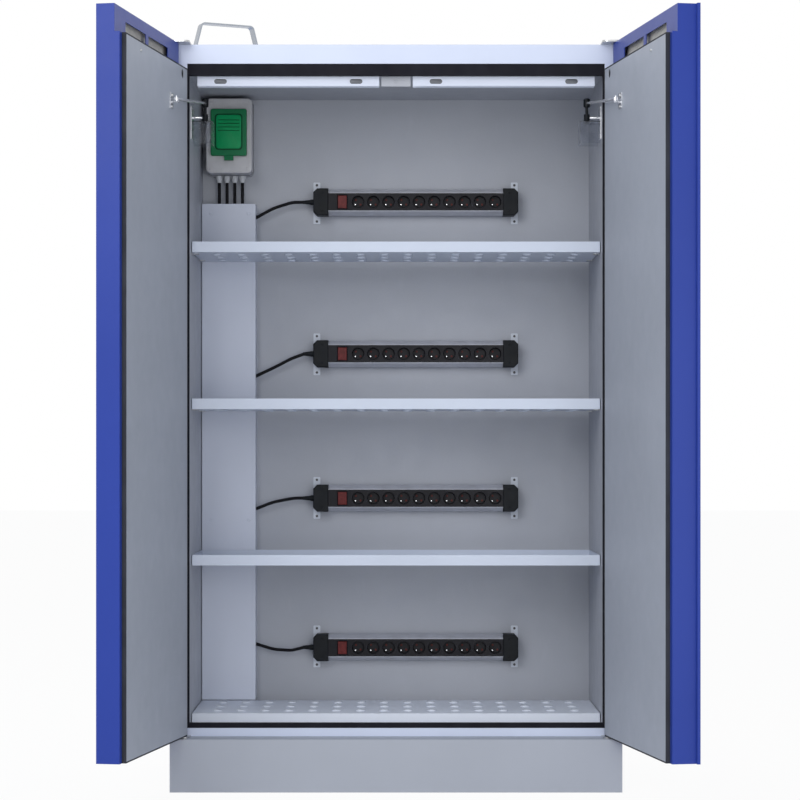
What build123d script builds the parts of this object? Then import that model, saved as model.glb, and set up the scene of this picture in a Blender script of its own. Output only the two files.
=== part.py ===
"""Two-door battery charging cabinet, doors open, in millimetres, +Z up.

+X runs to the right of someone who faces the doors and +Y runs into the cabinet.
Every sub-part is modelled from the plane of the body's front, and save() then moves it so
that the origin lies on the floor, in the middle of the plinth's front board.
Door pieces are modelled shut and then turned open about their pivots.
"""
from build123d import *
import math
import os

os.makedirs("parts", exist_ok=True)

# ---- Overall sizes --------------------------------------------------------------------------
WIDTH = 1195.0
HEIGHT = 1986.0
DEPTH = 600.0
PLINTH_HEIGHT = 140.0
PLINTH_SHEET = 3.0
PLINTH_RETURN = 30.0
SHEET = 1.5
FACE_GAP = 2.0

# ---- Opening and inner lining ---------------------------------------------------------------
POST_WIDTH = 40.5
SILL_HEIGHT = 22.0
HEADER_HEIGHT = 51.0
LINING = 3.5
CEILING_DROP = 27.0
BACK_BOARD = 33.0
SEAL_SIDE = 4.5
SEAL_TOP = 31.0
SEAL_BOTTOM = 13.0
SEAL_SETBACK = 3.0
SEAL_DEPTH = 17.0

# ---- Doors ----------------------------------------------------------------------------------
DOOR_SHELL = 46.0
DOOR_LIP = 13.0
DOOR_PANEL = 11.0
DOOR_SKIN = 2.0
DOOR_GAP = 3.0
DOOR_LIFT = 4.0
DOOR_TOP_GAP = 1.0
DOOR_SIDE_INSET = 1.0
TOP_ZONE = 68.0
LEDGE_AT_FREE_EDGE = 19.0
DOOR_SEAL = 4.0
PIVOT_INSET = 10.5
PIVOT_SETBACK = 34.0
OPEN_ANGLE = 100.0
POCKET_HEIGHT = 38.0
POCKET_DEPTH = 12.0
POCKET_BRIDGE = 23.0
POCKET_FREE_MARGIN = 95.0
POCKET_HINGE_MARGIN = 110.0
PLUG_RADIUS = 12.0
MEETING_WIDTH = 37.0
MEETING_THICKNESS = 8.0
MEETING_OVERLAP = 12.0
MEETING_CLEARANCE = 0.5

# ---- Pivots ---------------------------------------------------------------------------------
PIN_RADIUS = 5.0
PIN_CLEARANCE = 0.05
PIN_LENGTH = 22.0
TOP_PLATE = 5.0
BOTTOM_PLATE = 3.0
PIVOT_PLATE_WIDTH = 50.0
PIVOT_BLOCK = 28.0

# ---- Shelves --------------------------------------------------------------------------------
SHELF_TOPS = (1467.0, 1043.0, 620.5)
SHELF_SHEET = 2.0
SHELF_LIP = 28.5
SHELF_FRONT = 78.0
SHELF_DEPTH = 346.0
SHELF_SIDE_GAP = 2.5
HOLE_COLUMNS = 16
HOLE_ROWS = 3
HOLE_PITCH = 65.0
HOLE_ROW_PITCH = 105.0
HOLE_RADIUS = 11.0
SUPPORT_REACH = 16.0
SUPPORT_LENGTH = 30.0
SUPPORT_RISE = 20.0
SUPPORT_SHEET = 2.0
SUPPORT_INSET = 45.0

# ---- Distribution box -----------------------------------------------------------------------
BOX_WIDTH = 130.0
BOX_HEIGHT = 212.0
BOX_DEPTH = 105.0
BOX_SIDE_GAP = 16.5
BOX_TOP_GAP = 9.5
BOX_WALL = 2.5
BOX_CORNER = 14.0
BOX_SPLIT = 50.0
FLAP_WIDTH = 101.0
FLAP_HEIGHT = 132.0
FLAP_DEPTH = 16.0
FLAP_WALL = 2.0
FLAP_TOP_MARGIN = 32.0
FLAP_TAB = 13.0
MODULE = 17.5
BREAKERS = 4
BREAKER_NOSE = 45.0
BREAKER_SHOULDER = 22.0
BREAKER_DEPTH = 66.0
BREAKER_HEIGHT = 84.0
TOGGLE_RADIUS = 5.0
TOGGLE_THROW = 70.0
GLAND_PITCH = 22.0
GLAND_RADIUS = 9.0
GLAND_LENGTH = 19.0
CABLE_RADIUS = 4.5

# ---- Cable duct -----------------------------------------------------------------------------
DUCT_WIDTH = 152.0
DUCT_DEPTH = 64.0
DUCT_BELOW_BOX = 82.5
DUCT_HOLE_GAP = 2.5

# ---- Socket strips --------------------------------------------------------------------------
STRIP_HEIGHTS = (1611.5, 1178.5, 766.5, 340.5)
STRIP_LEFT = -236.0
STRIP_LENGTH = 584.5
STRIP_DEPTH = 46.0
STRIP_HEIGHT = 75.0
STRIP_BRIM = 49.0
CAP_LENGTH = 43.0
CAP_CHAMFER = 11.0
INSERT_DEPTH = 34.0
SOCKETS = 10
SOCKET_PITCH = 43.4
SOCKET_RADIUS = 17.7
SOCKET_DEPTH = 17.0
FIRST_SOCKET_INSET = 128.0
ROCKER_BEFORE_SOCKET = 45.0
ROCKER_WIDTH = 25.0
ROCKER_HEIGHT = 36.0
ROCKER_DEPTH = 9.0
ROCKER_TILT = 6.0
ROCKER_SPACE = 1.5
BRACKET_WIDTH = 20.0
BRACKET_HEIGHT = 120.0
BRACKET_SHEET = 2.0
BRACKET_HOLE = 3.0
LEAD_RADIUS = 4.5

# ---- Door stays -----------------------------------------------------------------------------
STAY_BELOW_TOP = 91.0
STAY_RISE = 32.0
STAY_PIN = 2.5
ELBOW_RADIUS = 9.0
ELBOW_HEIGHT = 24.0
ELBOW_EDGE = 2.5
GUARD_HALF = 36.0
STAY_REACH = 155.0
STAY_STANDOFF = 14.0
STAY_ROD = 4.0
STAY_END_OFF_WALL = 36.5
STAY_END_DEPTH = 100.0
GUARD_HEIGHT = 60.0

# ---- Places worked out from the sizes above -------------------------------------------------
HALF = WIDTH / 2
DOOR_STACK = DOOR_SHELL + DOOR_LIP + DOOR_PANEL
DOOR_ZONE = DOOR_STACK + FACE_GAP
BODY_DEPTH = DEPTH - DOOR_ZONE
FRONT_Y = DOOR_ZONE - PLINTH_SHEET / 2
OPEN_HALF = HALF - POST_WIDTH
OPEN_BOTTOM = PLINTH_HEIGHT + SILL_HEIGHT
OPEN_TOP = HEIGHT - HEADER_HEIGHT
INNER_HALF = OPEN_HALF - LINING
INNER_FLOOR = OPEN_BOTTOM + 2.0
INNER_CEILING = OPEN_TOP - CEILING_DROP
INNER_FRONT = SEAL_SETBACK + SEAL_DEPTH
INNER_BACK = BODY_DEPTH - SHEET - BACK_BOARD - LINING
DOOR_FRONT = -DOOR_ZONE
DOOR_RIM = DOOR_FRONT + DOOR_SHELL
DOOR_LIP_FACE = DOOR_RIM + DOOR_LIP
DOOR_BACK = DOOR_LIP_FACE + DOOR_PANEL
DOOR_BOTTOM = PLINTH_HEIGHT + DOOR_LIFT
DOOR_TOP = HEIGHT - DOOR_TOP_GAP
DOOR_HINGE_X = -HALF + DOOR_SIDE_INSET
DOOR_FREE_X = -DOOR_GAP / 2
PANEL_TOP = DOOR_TOP - TOP_ZONE
STAY_LEVEL = OPEN_TOP - STAY_BELOW_TOP
BRACKET_LEVEL = STAY_LEVEL - STAY_RISE
PIVOT_X = -HALF + PIVOT_INSET
PIVOT_Y = -PIVOT_SETBACK


def block(x, y, z):
    """A box between two places along each axis."""
    size = (x[1] - x[0], y[1] - y[0], z[1] - z[0])
    return Pos(x[0], y[0], z[0]) * Box(*size, align=(Align.MIN, Align.MIN, Align.MIN))


def rod(start, end, radius):
    """A round bar from one point to another."""
    start, end = Vector(*start), Vector(*end)
    axis = end - start
    plane = Plane(origin=start, z_dir=axis.normalized())
    return plane * Cylinder(radius, axis.length, align=(Align.CENTER, Align.CENTER, Align.MIN))


def mirrored(shape):
    """The same piece on the other side of the cabinet."""
    return mirror(shape, about=Plane.YZ)


def opened(shape, side=-1):
    """A door piece, modelled shut, turned open about its pivot."""
    pivot = Pos(side * -PIVOT_X, PIVOT_Y, 0)
    return pivot * Rot(0, 0, side * OPEN_ANGLE) * pivot.inverse() * shape


def save(name, *solids):
    """Write one sub-part in the cabinet's own frame."""
    placed = [Pos(0, FRONT_Y, 0) * solid for group in solids for solid in group.solids()]
    export_step(placed[0] if len(placed) == 1 else Compound(children=placed), f"parts/{name}.step")


# ---- Plinth ---------------------------------------------------------------------------------
FOOT_RADIUS = 22.0
FOOT_HEIGHT = 6.0
FOOT_INSET = 30.0
FOOT_FRONT_INSET = 70.0


def plinth_frame():
    """Three-sided folded base with an inward flange all round its top."""
    outer = block((-HALF, HALF), (DOOR_FRONT + PLINTH_SHEET, BODY_DEPTH), (0, PLINTH_HEIGHT))
    inner = block((-HALF + PLINTH_SHEET, HALF - PLINTH_SHEET),
                  (DOOR_FRONT, BODY_DEPTH - PLINTH_SHEET), (0, PLINTH_HEIGHT - PLINTH_SHEET))
    well = block((-HALF + POST_WIDTH, HALF - POST_WIDTH),
                 (POST_WIDTH, BODY_DEPTH - POST_WIDTH), (0, PLINTH_HEIGHT))
    return outer - inner - well


def plinth_panel():
    """Front board of the plinth, flush with the closed doors, with a folded foot."""
    board = block((-HALF, HALF), (DOOR_FRONT, DOOR_FRONT + PLINTH_SHEET), (0, PLINTH_HEIGHT))
    foot = block((-HALF + PLINTH_SHEET, HALF - PLINTH_SHEET),
                 (DOOR_FRONT, DOOR_FRONT + PLINTH_RETURN), (0, PLINTH_SHEET))
    return board + foot


def levelling_feet():
    """Four screw feet: a pad on the floor and a stem up through the base."""
    feet = []
    for x in (-HALF + FOOT_INSET, HALF - FOOT_INSET):
        for y in (DOOR_FRONT + FOOT_FRONT_INSET, BODY_DEPTH - FOOT_INSET):
            pad = Pos(x, y, 0) * Cone(FOOT_RADIUS, FOOT_RADIUS * 0.7, FOOT_HEIGHT,
                                      align=(Align.CENTER, Align.CENTER, Align.MIN))
            feet.append(pad + rod((x, y, 0), (x, y, PLINTH_HEIGHT - PLINTH_SHEET), FOOT_RADIUS * 0.27))
    return feet


# ---- Body -----------------------------------------------------------------------------------
def casing_wrap():
    """Sides, roof and front frame of the outer casing, folded from one sheet."""
    outer = block((-HALF, HALF), (0, BODY_DEPTH), (PLINTH_HEIGHT, HEIGHT))
    inner = block((-HALF + SHEET, HALF - SHEET), (SHEET, BODY_DEPTH), (PLINTH_HEIGHT, HEIGHT - SHEET))
    opening = block((-OPEN_HALF, OPEN_HALF), (0, SHEET), (OPEN_BOTTOM, OPEN_TOP))
    return outer - inner - opening


def casing_back():
    """Rear sheet, let in flush behind the side walls."""
    return block((-HALF + SHEET, HALF - SHEET), (BODY_DEPTH - SHEET, BODY_DEPTH),
                 (PLINTH_HEIGHT, HEIGHT - SHEET))


def casing_floor():
    """Bottom sheet of the casing, which stands on the plinth."""
    return block((-HALF + SHEET, HALF - SHEET), (SHEET, BODY_DEPTH - SHEET),
                 (PLINTH_HEIGHT, PLINTH_HEIGHT + SHEET))


def fire_boards():
    """Mineral boards that fill the walls between casing and lining."""
    low = PLINTH_HEIGHT + SHEET
    high = HEIGHT - SHEET
    floor_top = INNER_FLOOR - LINING
    side = block((-HALF + SHEET, -OPEN_HALF), (SHEET, BODY_DEPTH - SHEET), (low, high))
    bottom = block((-OPEN_HALF, OPEN_HALF), (SHEET, BODY_DEPTH - SHEET), (low, floor_top))
    roof = block((-OPEN_HALF, OPEN_HALF), (SHEET, BODY_DEPTH - SHEET), (OPEN_TOP, high))
    drop = block((-OPEN_HALF, OPEN_HALF), (INNER_FRONT, BODY_DEPTH - SHEET),
                 (INNER_CEILING + LINING, OPEN_TOP))
    back = block((-OPEN_HALF, OPEN_HALF), (INNER_BACK + LINING, BODY_DEPTH - SHEET),
                 (floor_top, INNER_CEILING + LINING))
    return [side, mirrored(side), bottom, roof + drop, back]


def side_linings():
    """The two smooth boards that face the inner side walls."""
    left = block((-OPEN_HALF, -INNER_HALF), (INNER_FRONT, INNER_BACK + LINING),
                 (INNER_FLOOR - LINING, INNER_CEILING + LINING))
    return [left, mirrored(left)]


def flat_lining(y, z):
    """A lining board between the two side linings."""
    return block((-INNER_HALF, INNER_HALF), y, z)


def opening_seal():
    """Black swelling seal that lines the opening, deepest under the header."""
    depth = (SEAL_SETBACK, SEAL_SETBACK + SEAL_DEPTH)
    ring = block((-OPEN_HALF, OPEN_HALF), depth, (OPEN_BOTTOM, OPEN_TOP))
    hole = block((-OPEN_HALF + SEAL_SIDE, OPEN_HALF - SEAL_SIDE), depth,
                 (OPEN_BOTTOM + SEAL_BOTTOM, OPEN_TOP - SEAL_TOP))
    return ring - hole


def pivot_plate(top):
    """Round-nosed plate with the pin that one door end turns on, at the left."""
    level, thick = (HEIGHT, TOP_PLATE) if top else (PLINTH_HEIGHT, BOTTOM_PLATE)
    pin_end = DOOR_TOP - PIN_LENGTH if top else DOOR_BOTTOM + PIN_LENGTH
    back = PIVOT_PLATE_WIDTH * 1.6 if top else 0
    nose = PIVOT_INSET + PIN_RADIUS
    outline = Rectangle(PIVOT_PLATE_WIDTH, back - PIVOT_Y, align=(Align.MIN, Align.MIN))
    outline = Pos(-HALF, PIVOT_Y, 0) * outline
    front = Pos(-HALF, PIVOT_Y - nose, 0) * Rectangle(PIVOT_PLATE_WIDTH, nose, align=(Align.MIN, Align.MIN))
    front = fillet(front.vertices().group_by(Axis.Y)[0], nose - 0.5)
    plate = extrude(Plane.XY.offset(level) * (outline + front), thick)
    start = level + thick / 2
    return plate + rod((PIVOT_X, PIVOT_Y, start), (PIVOT_X, PIVOT_Y, pin_end), PIN_RADIUS)


def pivot_plates():
    """The four fixed plates that carry the doors' pins."""
    plates = [pivot_plate(True), pivot_plate(False)]
    return plates + [mirrored(plate) for plate in plates]


# ---- Doors ----------------------------------------------------------------------------------
def door_shell():
    """Folded blue door: hollow leaf, raised lip field, two pockets and two pivot blocks."""
    x = (DOOR_HINGE_X, DOOR_FREE_X)
    leaf = block(x, (DOOR_FRONT, DOOR_RIM), (DOOR_BOTTOM, DOOR_TOP))
    field = block(x, (DOOR_RIM, DOOR_LIP_FACE), (DOOR_BOTTOM, PANEL_TOP))
    inside = (x[0] + DOOR_SKIN, x[1] - DOOR_SKIN)
    hollow = block(inside, (DOOR_FRONT + DOOR_SKIN, DOOR_RIM - DOOR_SKIN),
                   (DOOR_BOTTOM + DOOR_SKIN, DOOR_TOP - DOOR_SKIN))
    field_hollow = block(inside, (DOOR_RIM - DOOR_SKIN, DOOR_LIP_FACE - DOOR_SKIN),
                         (DOOR_BOTTOM + DOOR_SKIN, PANEL_TOP - DOOR_SKIN))
    shell = leaf + field - hollow - field_hollow
    for z, direction in ((DOOR_BOTTOM, 1), (DOOR_TOP, -1)):
        ends = sorted((z, z + direction * (PIN_LENGTH + PIVOT_BLOCK / 4)))
        shell += block((x[0], x[0] + PIVOT_BLOCK), (PIVOT_Y - PIVOT_BLOCK / 2, DOOR_RIM), ends)
    for z, direction in ((DOOR_BOTTOM, 1), (DOOR_TOP, -1)):
        bore_end = z + direction * (PIN_LENGTH + 1)
        shell -= rod((PIVOT_X, PIVOT_Y, z - direction), (PIVOT_X, PIVOT_Y, bore_end),
                     PIN_RADIUS + PIN_CLEARANCE)
    for pocket in pocket_spaces():
        shell -= pocket
    return shell


def meeting_strip():
    """Strip on the right door's front edge that covers the gap between the doors."""
    edge = -DOOR_FREE_X
    x = (edge - MEETING_OVERLAP, edge - MEETING_OVERLAP + MEETING_WIDTH)
    strip = block(x, (DOOR_FRONT - MEETING_THICKNESS, DOOR_FRONT), (DOOR_BOTTOM, DOOR_TOP))
    return strip - block((x[0], edge), (DOOR_FRONT - MEETING_CLEARANCE, DOOR_FRONT), (DOOR_BOTTOM, DOOR_TOP))


def pocket_spans():
    """Where the two pockets above the panel start and end along the door."""
    low = DOOR_HINGE_X + POCKET_HINGE_MARGIN
    high = DOOR_FREE_X - POCKET_FREE_MARGIN
    half = (high - low - POCKET_BRIDGE) / 2
    return [(low, low + half), (high - half, high)]


def pocket_spaces(grow=0.0):
    """The two pockets, or the same boxes grown on the covered sides."""
    return [block((x[0] - grow, x[1] + grow), (DOOR_RIM - POCKET_DEPTH - grow, DOOR_RIM),
                  (PANEL_TOP - grow, PANEL_TOP + POCKET_HEIGHT + grow)) for x in pocket_spans()]


def door_board():
    """Mineral board inside the door leaf, cut round the pivot blocks and pockets."""
    x = (DOOR_HINGE_X + PIVOT_BLOCK, DOOR_FREE_X - DOOR_SKIN)
    depth = (DOOR_FRONT + DOOR_SKIN, DOOR_RIM - POCKET_DEPTH - DOOR_SKIN)
    return block(x, depth, (DOOR_BOTTOM + DOOR_SKIN, DOOR_TOP - DOOR_SKIN))


def panel_outline(inset):
    """X and Z limits of the inner panel, less an inset."""
    x = (DOOR_HINGE_X + inset, DOOR_FREE_X - LEDGE_AT_FREE_EDGE - inset)
    return x, (DOOR_BOTTOM + inset, PANEL_TOP - inset)


def door_panel():
    """Grey inner panel with a round plug recess near the hinge."""
    x, z = panel_outline(DOOR_SEAL)
    panel = block(x, (DOOR_LIP_FACE, DOOR_BACK), z)
    plug = (x[0] + PIVOT_BLOCK * 1.6, DOOR_BACK, z[1] - PIVOT_BLOCK * 0.6)
    return panel - rod(plug, (plug[0], plug[1] - 3, plug[2]), PLUG_RADIUS)


def door_seal():
    """Black seal that frames the inner panel."""
    x, z = panel_outline(0)
    inner_x, inner_z = panel_outline(DOOR_SEAL)
    depth = (DOOR_LIP_FACE, DOOR_BACK - 0.5)
    return block(x, depth, z) - block(inner_x, depth, inner_z)


# ---- Door stays -----------------------------------------------------------------------------
STAY_END_X = -INNER_HALF + STAY_END_OFF_WALL
BRACKET_PIN_X = PIVOT_X + STAY_REACH
BRACKET_PIN_Y = DOOR_BACK + STAY_STANDOFF


def stay_pin_open():
    """The bracket's pin with the left door open, in the body's frame."""
    turn = math.radians(-OPEN_ANGLE)
    dx, dy = BRACKET_PIN_X - PIVOT_X, BRACKET_PIN_Y - PIVOT_Y
    return (PIVOT_X + dx * math.cos(turn) - dy * math.sin(turn),
            PIVOT_Y + dx * math.sin(turn) + dy * math.cos(turn))


def stay_bracket():
    """Foot on the door panel with two ears and the pin that the stay turns on."""
    foot = block((BRACKET_PIN_X - 14, BRACKET_PIN_X + 14), (DOOR_BACK, DOOR_BACK + 2.5),
                 (BRACKET_LEVEL - 24, BRACKET_LEVEL + 16))
    ear = block((BRACKET_PIN_X - 7, BRACKET_PIN_X + 7), (DOOR_BACK + 2.5, BRACKET_PIN_Y + 6),
                (BRACKET_LEVEL - 9, BRACKET_LEVEL - 6))
    pin = rod((BRACKET_PIN_X, BRACKET_PIN_Y, BRACKET_LEVEL - 7),
              (BRACKET_PIN_X, BRACKET_PIN_Y, BRACKET_LEVEL + 9), STAY_PIN)
    return foot + ear + pin


def stay_rod():
    """Bright rod with an eye for the bracket's pin, left side, door open."""
    x, y = stay_pin_open()
    eye = Pos(x, y, BRACKET_LEVEL) * Cylinder(7, 8)
    bar = rod((x, y, BRACKET_LEVEL), (STAY_END_X, STAY_END_DEPTH, STAY_LEVEL), STAY_ROD)
    hole = Pos(x, y, BRACKET_LEVEL) * Cylinder(STAY_PIN + PIN_CLEARANCE, 20)
    cap_zone = Pos(STAY_END_X, STAY_END_DEPTH, STAY_LEVEL) * Cylinder(ELBOW_RADIUS, ELBOW_HEIGHT)
    return eye + bar - hole - cap_zone


def stay_elbow():
    """Black elbow on the rod's end with the bright pin that hangs from it."""
    centre = (STAY_END_X, STAY_END_DEPTH, STAY_LEVEL)
    barrel = Pos(*centre) * Cylinder(ELBOW_RADIUS, ELBOW_HEIGHT)
    elbow = chamfer(barrel.edges().filter_by(GeomType.CIRCLE), ELBOW_EDGE)
    pin = rod(centre, (STAY_END_X, STAY_END_DEPTH, STAY_LEVEL - 30), 4)
    return elbow + pin


def stay_guard():
    """Wall foot, soft stop and clear guard below the stay's pin, left side."""
    top = STAY_LEVEL - 31
    y = (STAY_END_DEPTH - GUARD_HALF, STAY_END_DEPTH + GUARD_HALF)
    x = (-INNER_HALF, STAY_END_X + 22)
    foot = block((x[0], x[0] + 3), y, (top - GUARD_HEIGHT - 10, top + 18))
    arm = rod((x[0] + 3, STAY_END_DEPTH, top - 9), (STAY_END_X - 8, STAY_END_DEPTH, top - 9), 4)
    damper = rod((STAY_END_X, STAY_END_DEPTH, top - 22), (STAY_END_X, STAY_END_DEPTH, top), 8)
    low = top - 22 - GUARD_HEIGHT
    guard = block((x[0] + 3, x[1]), y, (low, top - 22))
    hollow = block((x[0] + 3, x[1] - 2), (y[0] + 2, y[1] - 2), (low, top - 24))
    return [foot, arm], damper, guard - hollow


# ---- Rails over the opening -----------------------------------------------------------------
RAIL_HEIGHT = 26.0
RAIL_START = 45.0
RAIL_SIDE_GAP = 21.5
RAIL_LENGTH = INNER_HALF - RAIL_SIDE_GAP - RAIL_START
RAIL_DEPTH = 30.0
RAIL_SHEET = 2.0
RAIL_SLOT = (34.0, 13.0)
RAIL_SLOT_INSET = 62.0
RAIL_TOP = OPEN_TOP - SEAL_TOP
RAIL_Y = INNER_FRONT + 2.0


def closer_rail():
    """White channel with two slots in its front web, right of the middle."""
    x = (RAIL_START, RAIL_START + RAIL_LENGTH)
    y = (RAIL_Y, RAIL_Y + RAIL_DEPTH)
    z = (RAIL_TOP - RAIL_HEIGHT, INNER_CEILING)
    rail = block(x, y, z) - block(x, (y[0] + RAIL_SHEET, y[1] - RAIL_SHEET), (z[0], z[1] - RAIL_SHEET))
    for centre in (x[0] + RAIL_SLOT_INSET, x[1] - RAIL_SLOT_INSET):
        slot = Pos(centre, y[0], RAIL_TOP - RAIL_HEIGHT / 2) * Rot(90, 0, 0) * SlotOverall(*RAIL_SLOT)
        rail -= extrude(slot, RAIL_SHEET * 2, both=True)
    return rail


def bolt_keeper():
    """Strike plate between the rails, with a screw in a shallow dish."""
    plate = block((-RAIL_START + 6, RAIL_START - 6), (RAIL_Y + 4, RAIL_Y + 7),
                  (RAIL_TOP - RAIL_HEIGHT, INNER_CEILING))
    centre = (0, RAIL_Y + 4, RAIL_TOP - RAIL_HEIGHT / 2)
    dish = rod(centre, (0, RAIL_Y + 5.5, centre[2]), 6)
    screw = rod((0, RAIL_Y + 4.2, centre[2]), (0, RAIL_Y + 5.5, centre[2]), 3.5)
    return plate - dish + screw


# ---- Shelves --------------------------------------------------------------------------------
def perforated_pan(top, upright):
    """Perforated sheet with a folded lip all round, its lips standing up or hanging down."""
    half = INNER_HALF - SHELF_SIDE_GAP
    y = (SHELF_FRONT, SHELF_FRONT + SHELF_DEPTH)
    low = top - SHELF_LIP
    pan = block((-half, half), y, (low, top))
    space = (low + SHELF_SHEET, top) if upright else (low, top - SHELF_SHEET)
    inside = block((-half + SHELF_SHEET, half - SHELF_SHEET), (y[0] + SHELF_SHEET, y[1] - SHELF_SHEET), space)
    middle = Pos(0, (y[0] + y[1]) / 2, (low + top) / 2)
    holes = [middle * place * Cylinder(HOLE_RADIUS, SHELF_LIP + 2)
             for place in GridLocations(HOLE_PITCH, HOLE_ROW_PITCH, HOLE_COLUMNS, HOLE_ROWS)]
    return pan - inside - holes


def shelf_supports():
    """Four small angle brackets on the side walls under each shelf."""
    brackets = []
    reach, length, rise, sheet = SUPPORT_REACH, SUPPORT_LENGTH, SUPPORT_RISE, SUPPORT_SHEET
    for top in SHELF_TOPS:
        low = top - SHELF_LIP
        for y in (SHELF_FRONT + SUPPORT_INSET, SHELF_FRONT + SHELF_DEPTH - SUPPORT_INSET - length):
            leg = block((-INNER_HALF, -INNER_HALF + sheet), (y, y + length), (low - sheet, low + rise))
            foot = block((-INNER_HALF, -INNER_HALF + reach), (y, y + length), (low - sheet, low))
            brackets += [leg + foot, mirrored(leg + foot)]
    return brackets


# ---- Distribution box -----------------------------------------------------------------------
BOX_X = (-INNER_HALF + BOX_SIDE_GAP, -INNER_HALF + BOX_SIDE_GAP + BOX_WIDTH)
BOX_Z = (INNER_CEILING - BOX_TOP_GAP - BOX_HEIGHT, INNER_CEILING - BOX_TOP_GAP)
BOX_FRONT = INNER_BACK - BOX_DEPTH
BOX_MID_X = (BOX_X[0] + BOX_X[1]) / 2
FLAP_TOP = BOX_Z[1] - FLAP_TOP_MARGIN
BREAKER_Z = FLAP_TOP - FLAP_HEIGHT / 2
TOGGLE_Y = BOX_FRONT - 1.0


def rounded_case(y, wall):
    """A rounded box lying along Y, hollowed by the wall thickness except at its open end."""
    centre = Pos(BOX_MID_X, y[1], (BOX_Z[0] + BOX_Z[1]) / 2)
    outline = RectangleRounded(BOX_WIDTH, BOX_HEIGHT, BOX_CORNER)
    inline = RectangleRounded(BOX_WIDTH - 2 * wall, BOX_HEIGHT - 2 * wall, BOX_CORNER - wall)
    case = centre * Rot(90, 0, 0) * extrude(outline, y[1] - y[0])
    return case, centre * Rot(90, 0, 0) * extrude(inline, y[1] - y[0] - wall)


def box_base():
    """Rear tray of the box, with four cable holes through its lower wall."""
    y = (BOX_FRONT + BOX_DEPTH - BOX_SPLIT, INNER_BACK)
    case, _ = rounded_case(y, BOX_WALL)
    _, cavity = rounded_case((y[0] - BOX_WALL, y[1] - BOX_WALL), BOX_WALL)
    base = case - cavity
    for x, y_cable in gland_places():
        base -= rod((x, y_cable, BOX_Z[0] - 1), (x, y_cable, BOX_Z[0] + BOX_WALL + 1), GLAND_RADIUS * 0.7)
    return base


def box_cover():
    """Front cover of the box, with a window for the breakers' noses."""
    y = (BOX_FRONT, BOX_FRONT + BOX_DEPTH - BOX_SPLIT)
    case, cavity = rounded_case(y, BOX_WALL)
    half = BREAKERS * MODULE / 2 + 0.5
    window = block((BOX_MID_X - half, BOX_MID_X + half), (y[0] - 1, y[0] + BOX_WALL + 1),
                   (BREAKER_Z - BREAKER_NOSE / 2 - 0.5, BREAKER_Z + BREAKER_NOSE / 2 + 0.5))
    case = fillet(case.faces().sort_by(Axis.Y)[0].edges(), BOX_WALL * 1.5)
    return case - cavity - window


def box_flap():
    """Clear flap over the breakers: a shallow lid with a finger tab, hinged along its top."""
    y = (BOX_FRONT - 0.4 - FLAP_DEPTH, BOX_FRONT - 0.4)
    x = (BOX_MID_X - FLAP_WIDTH / 2, BOX_MID_X + FLAP_WIDTH / 2)
    lid = block(x, y, (FLAP_TOP - FLAP_HEIGHT, FLAP_TOP))
    lid = fillet(lid.edges().filter_by(Axis.Y), 5)
    lid = fillet(lid.faces().sort_by(Axis.Y)[0].edges(), 2)
    hollow = block((x[0] + FLAP_WALL, x[1] - FLAP_WALL), (y[0] + FLAP_WALL, y[1]),
                   (FLAP_TOP - FLAP_HEIGHT + FLAP_WALL, FLAP_TOP - FLAP_WALL))
    tab = block((BOX_MID_X - FLAP_TAB, BOX_MID_X + FLAP_TAB), (y[0] + 4, y[0] + 4 + FLAP_WALL * 1.5),
                (FLAP_TOP - FLAP_HEIGHT - FLAP_TAB, FLAP_TOP - FLAP_HEIGHT))
    return lid - hollow + tab


def breaker_places():
    """Middle of each breaker along X."""
    first = BOX_MID_X - (BREAKERS - 1) * MODULE / 2
    return [first + n * MODULE for n in range(BREAKERS)]


def breakers():
    """Row of one-module breakers on a rail, each with a slot for its toggle."""
    row = []
    for x in breaker_places():
        side = (x - MODULE / 2 + 0.2, x + MODULE / 2 - 0.2)
        body = block(side, (BOX_FRONT + BREAKER_SHOULDER, BOX_FRONT + BREAKER_DEPTH),
                     (BREAKER_Z - BREAKER_HEIGHT / 2, BREAKER_Z + BREAKER_HEIGHT / 2))
        nose = block(side, (BOX_FRONT - 1, BOX_FRONT + BREAKER_SHOULDER),
                     (BREAKER_Z - BREAKER_NOSE / 2, BREAKER_Z + BREAKER_NOSE / 2))
        slot = Pos(x, TOGGLE_Y, BREAKER_Z) * Rot(0, 90, 0) * Cylinder(TOGGLE_RADIUS + 0.5, MODULE * 0.5)
        row.append(body + nose - slot)
    return row


def toggle(x):
    """Breaker lever: a drum across the slot and a short handle, up when on."""
    drum = Pos(x, TOGGLE_Y, BREAKER_Z) * Rot(0, 90, 0) * Cylinder(TOGGLE_RADIUS, MODULE * 0.4)
    handle = block((x - MODULE * 0.2, x + MODULE * 0.2), (TOGGLE_Y - 11, TOGGLE_Y),
                   (BREAKER_Z - 1.7, BREAKER_Z + 1.7))
    turn = Pos(x, TOGGLE_Y, BREAKER_Z) * Rot(-TOGGLE_THROW / 2, 0, 0) * Pos(-x, -TOGGLE_Y, -BREAKER_Z)
    return turn * (drum + handle)


def gland_places():
    """X and Y of each cable's middle under the box."""
    first = BOX_MID_X - 1.5 * GLAND_PITCH
    return [(first + n * GLAND_PITCH, BOX_FRONT + BOX_DEPTH - BOX_SPLIT / 2) for n in range(4)]


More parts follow.
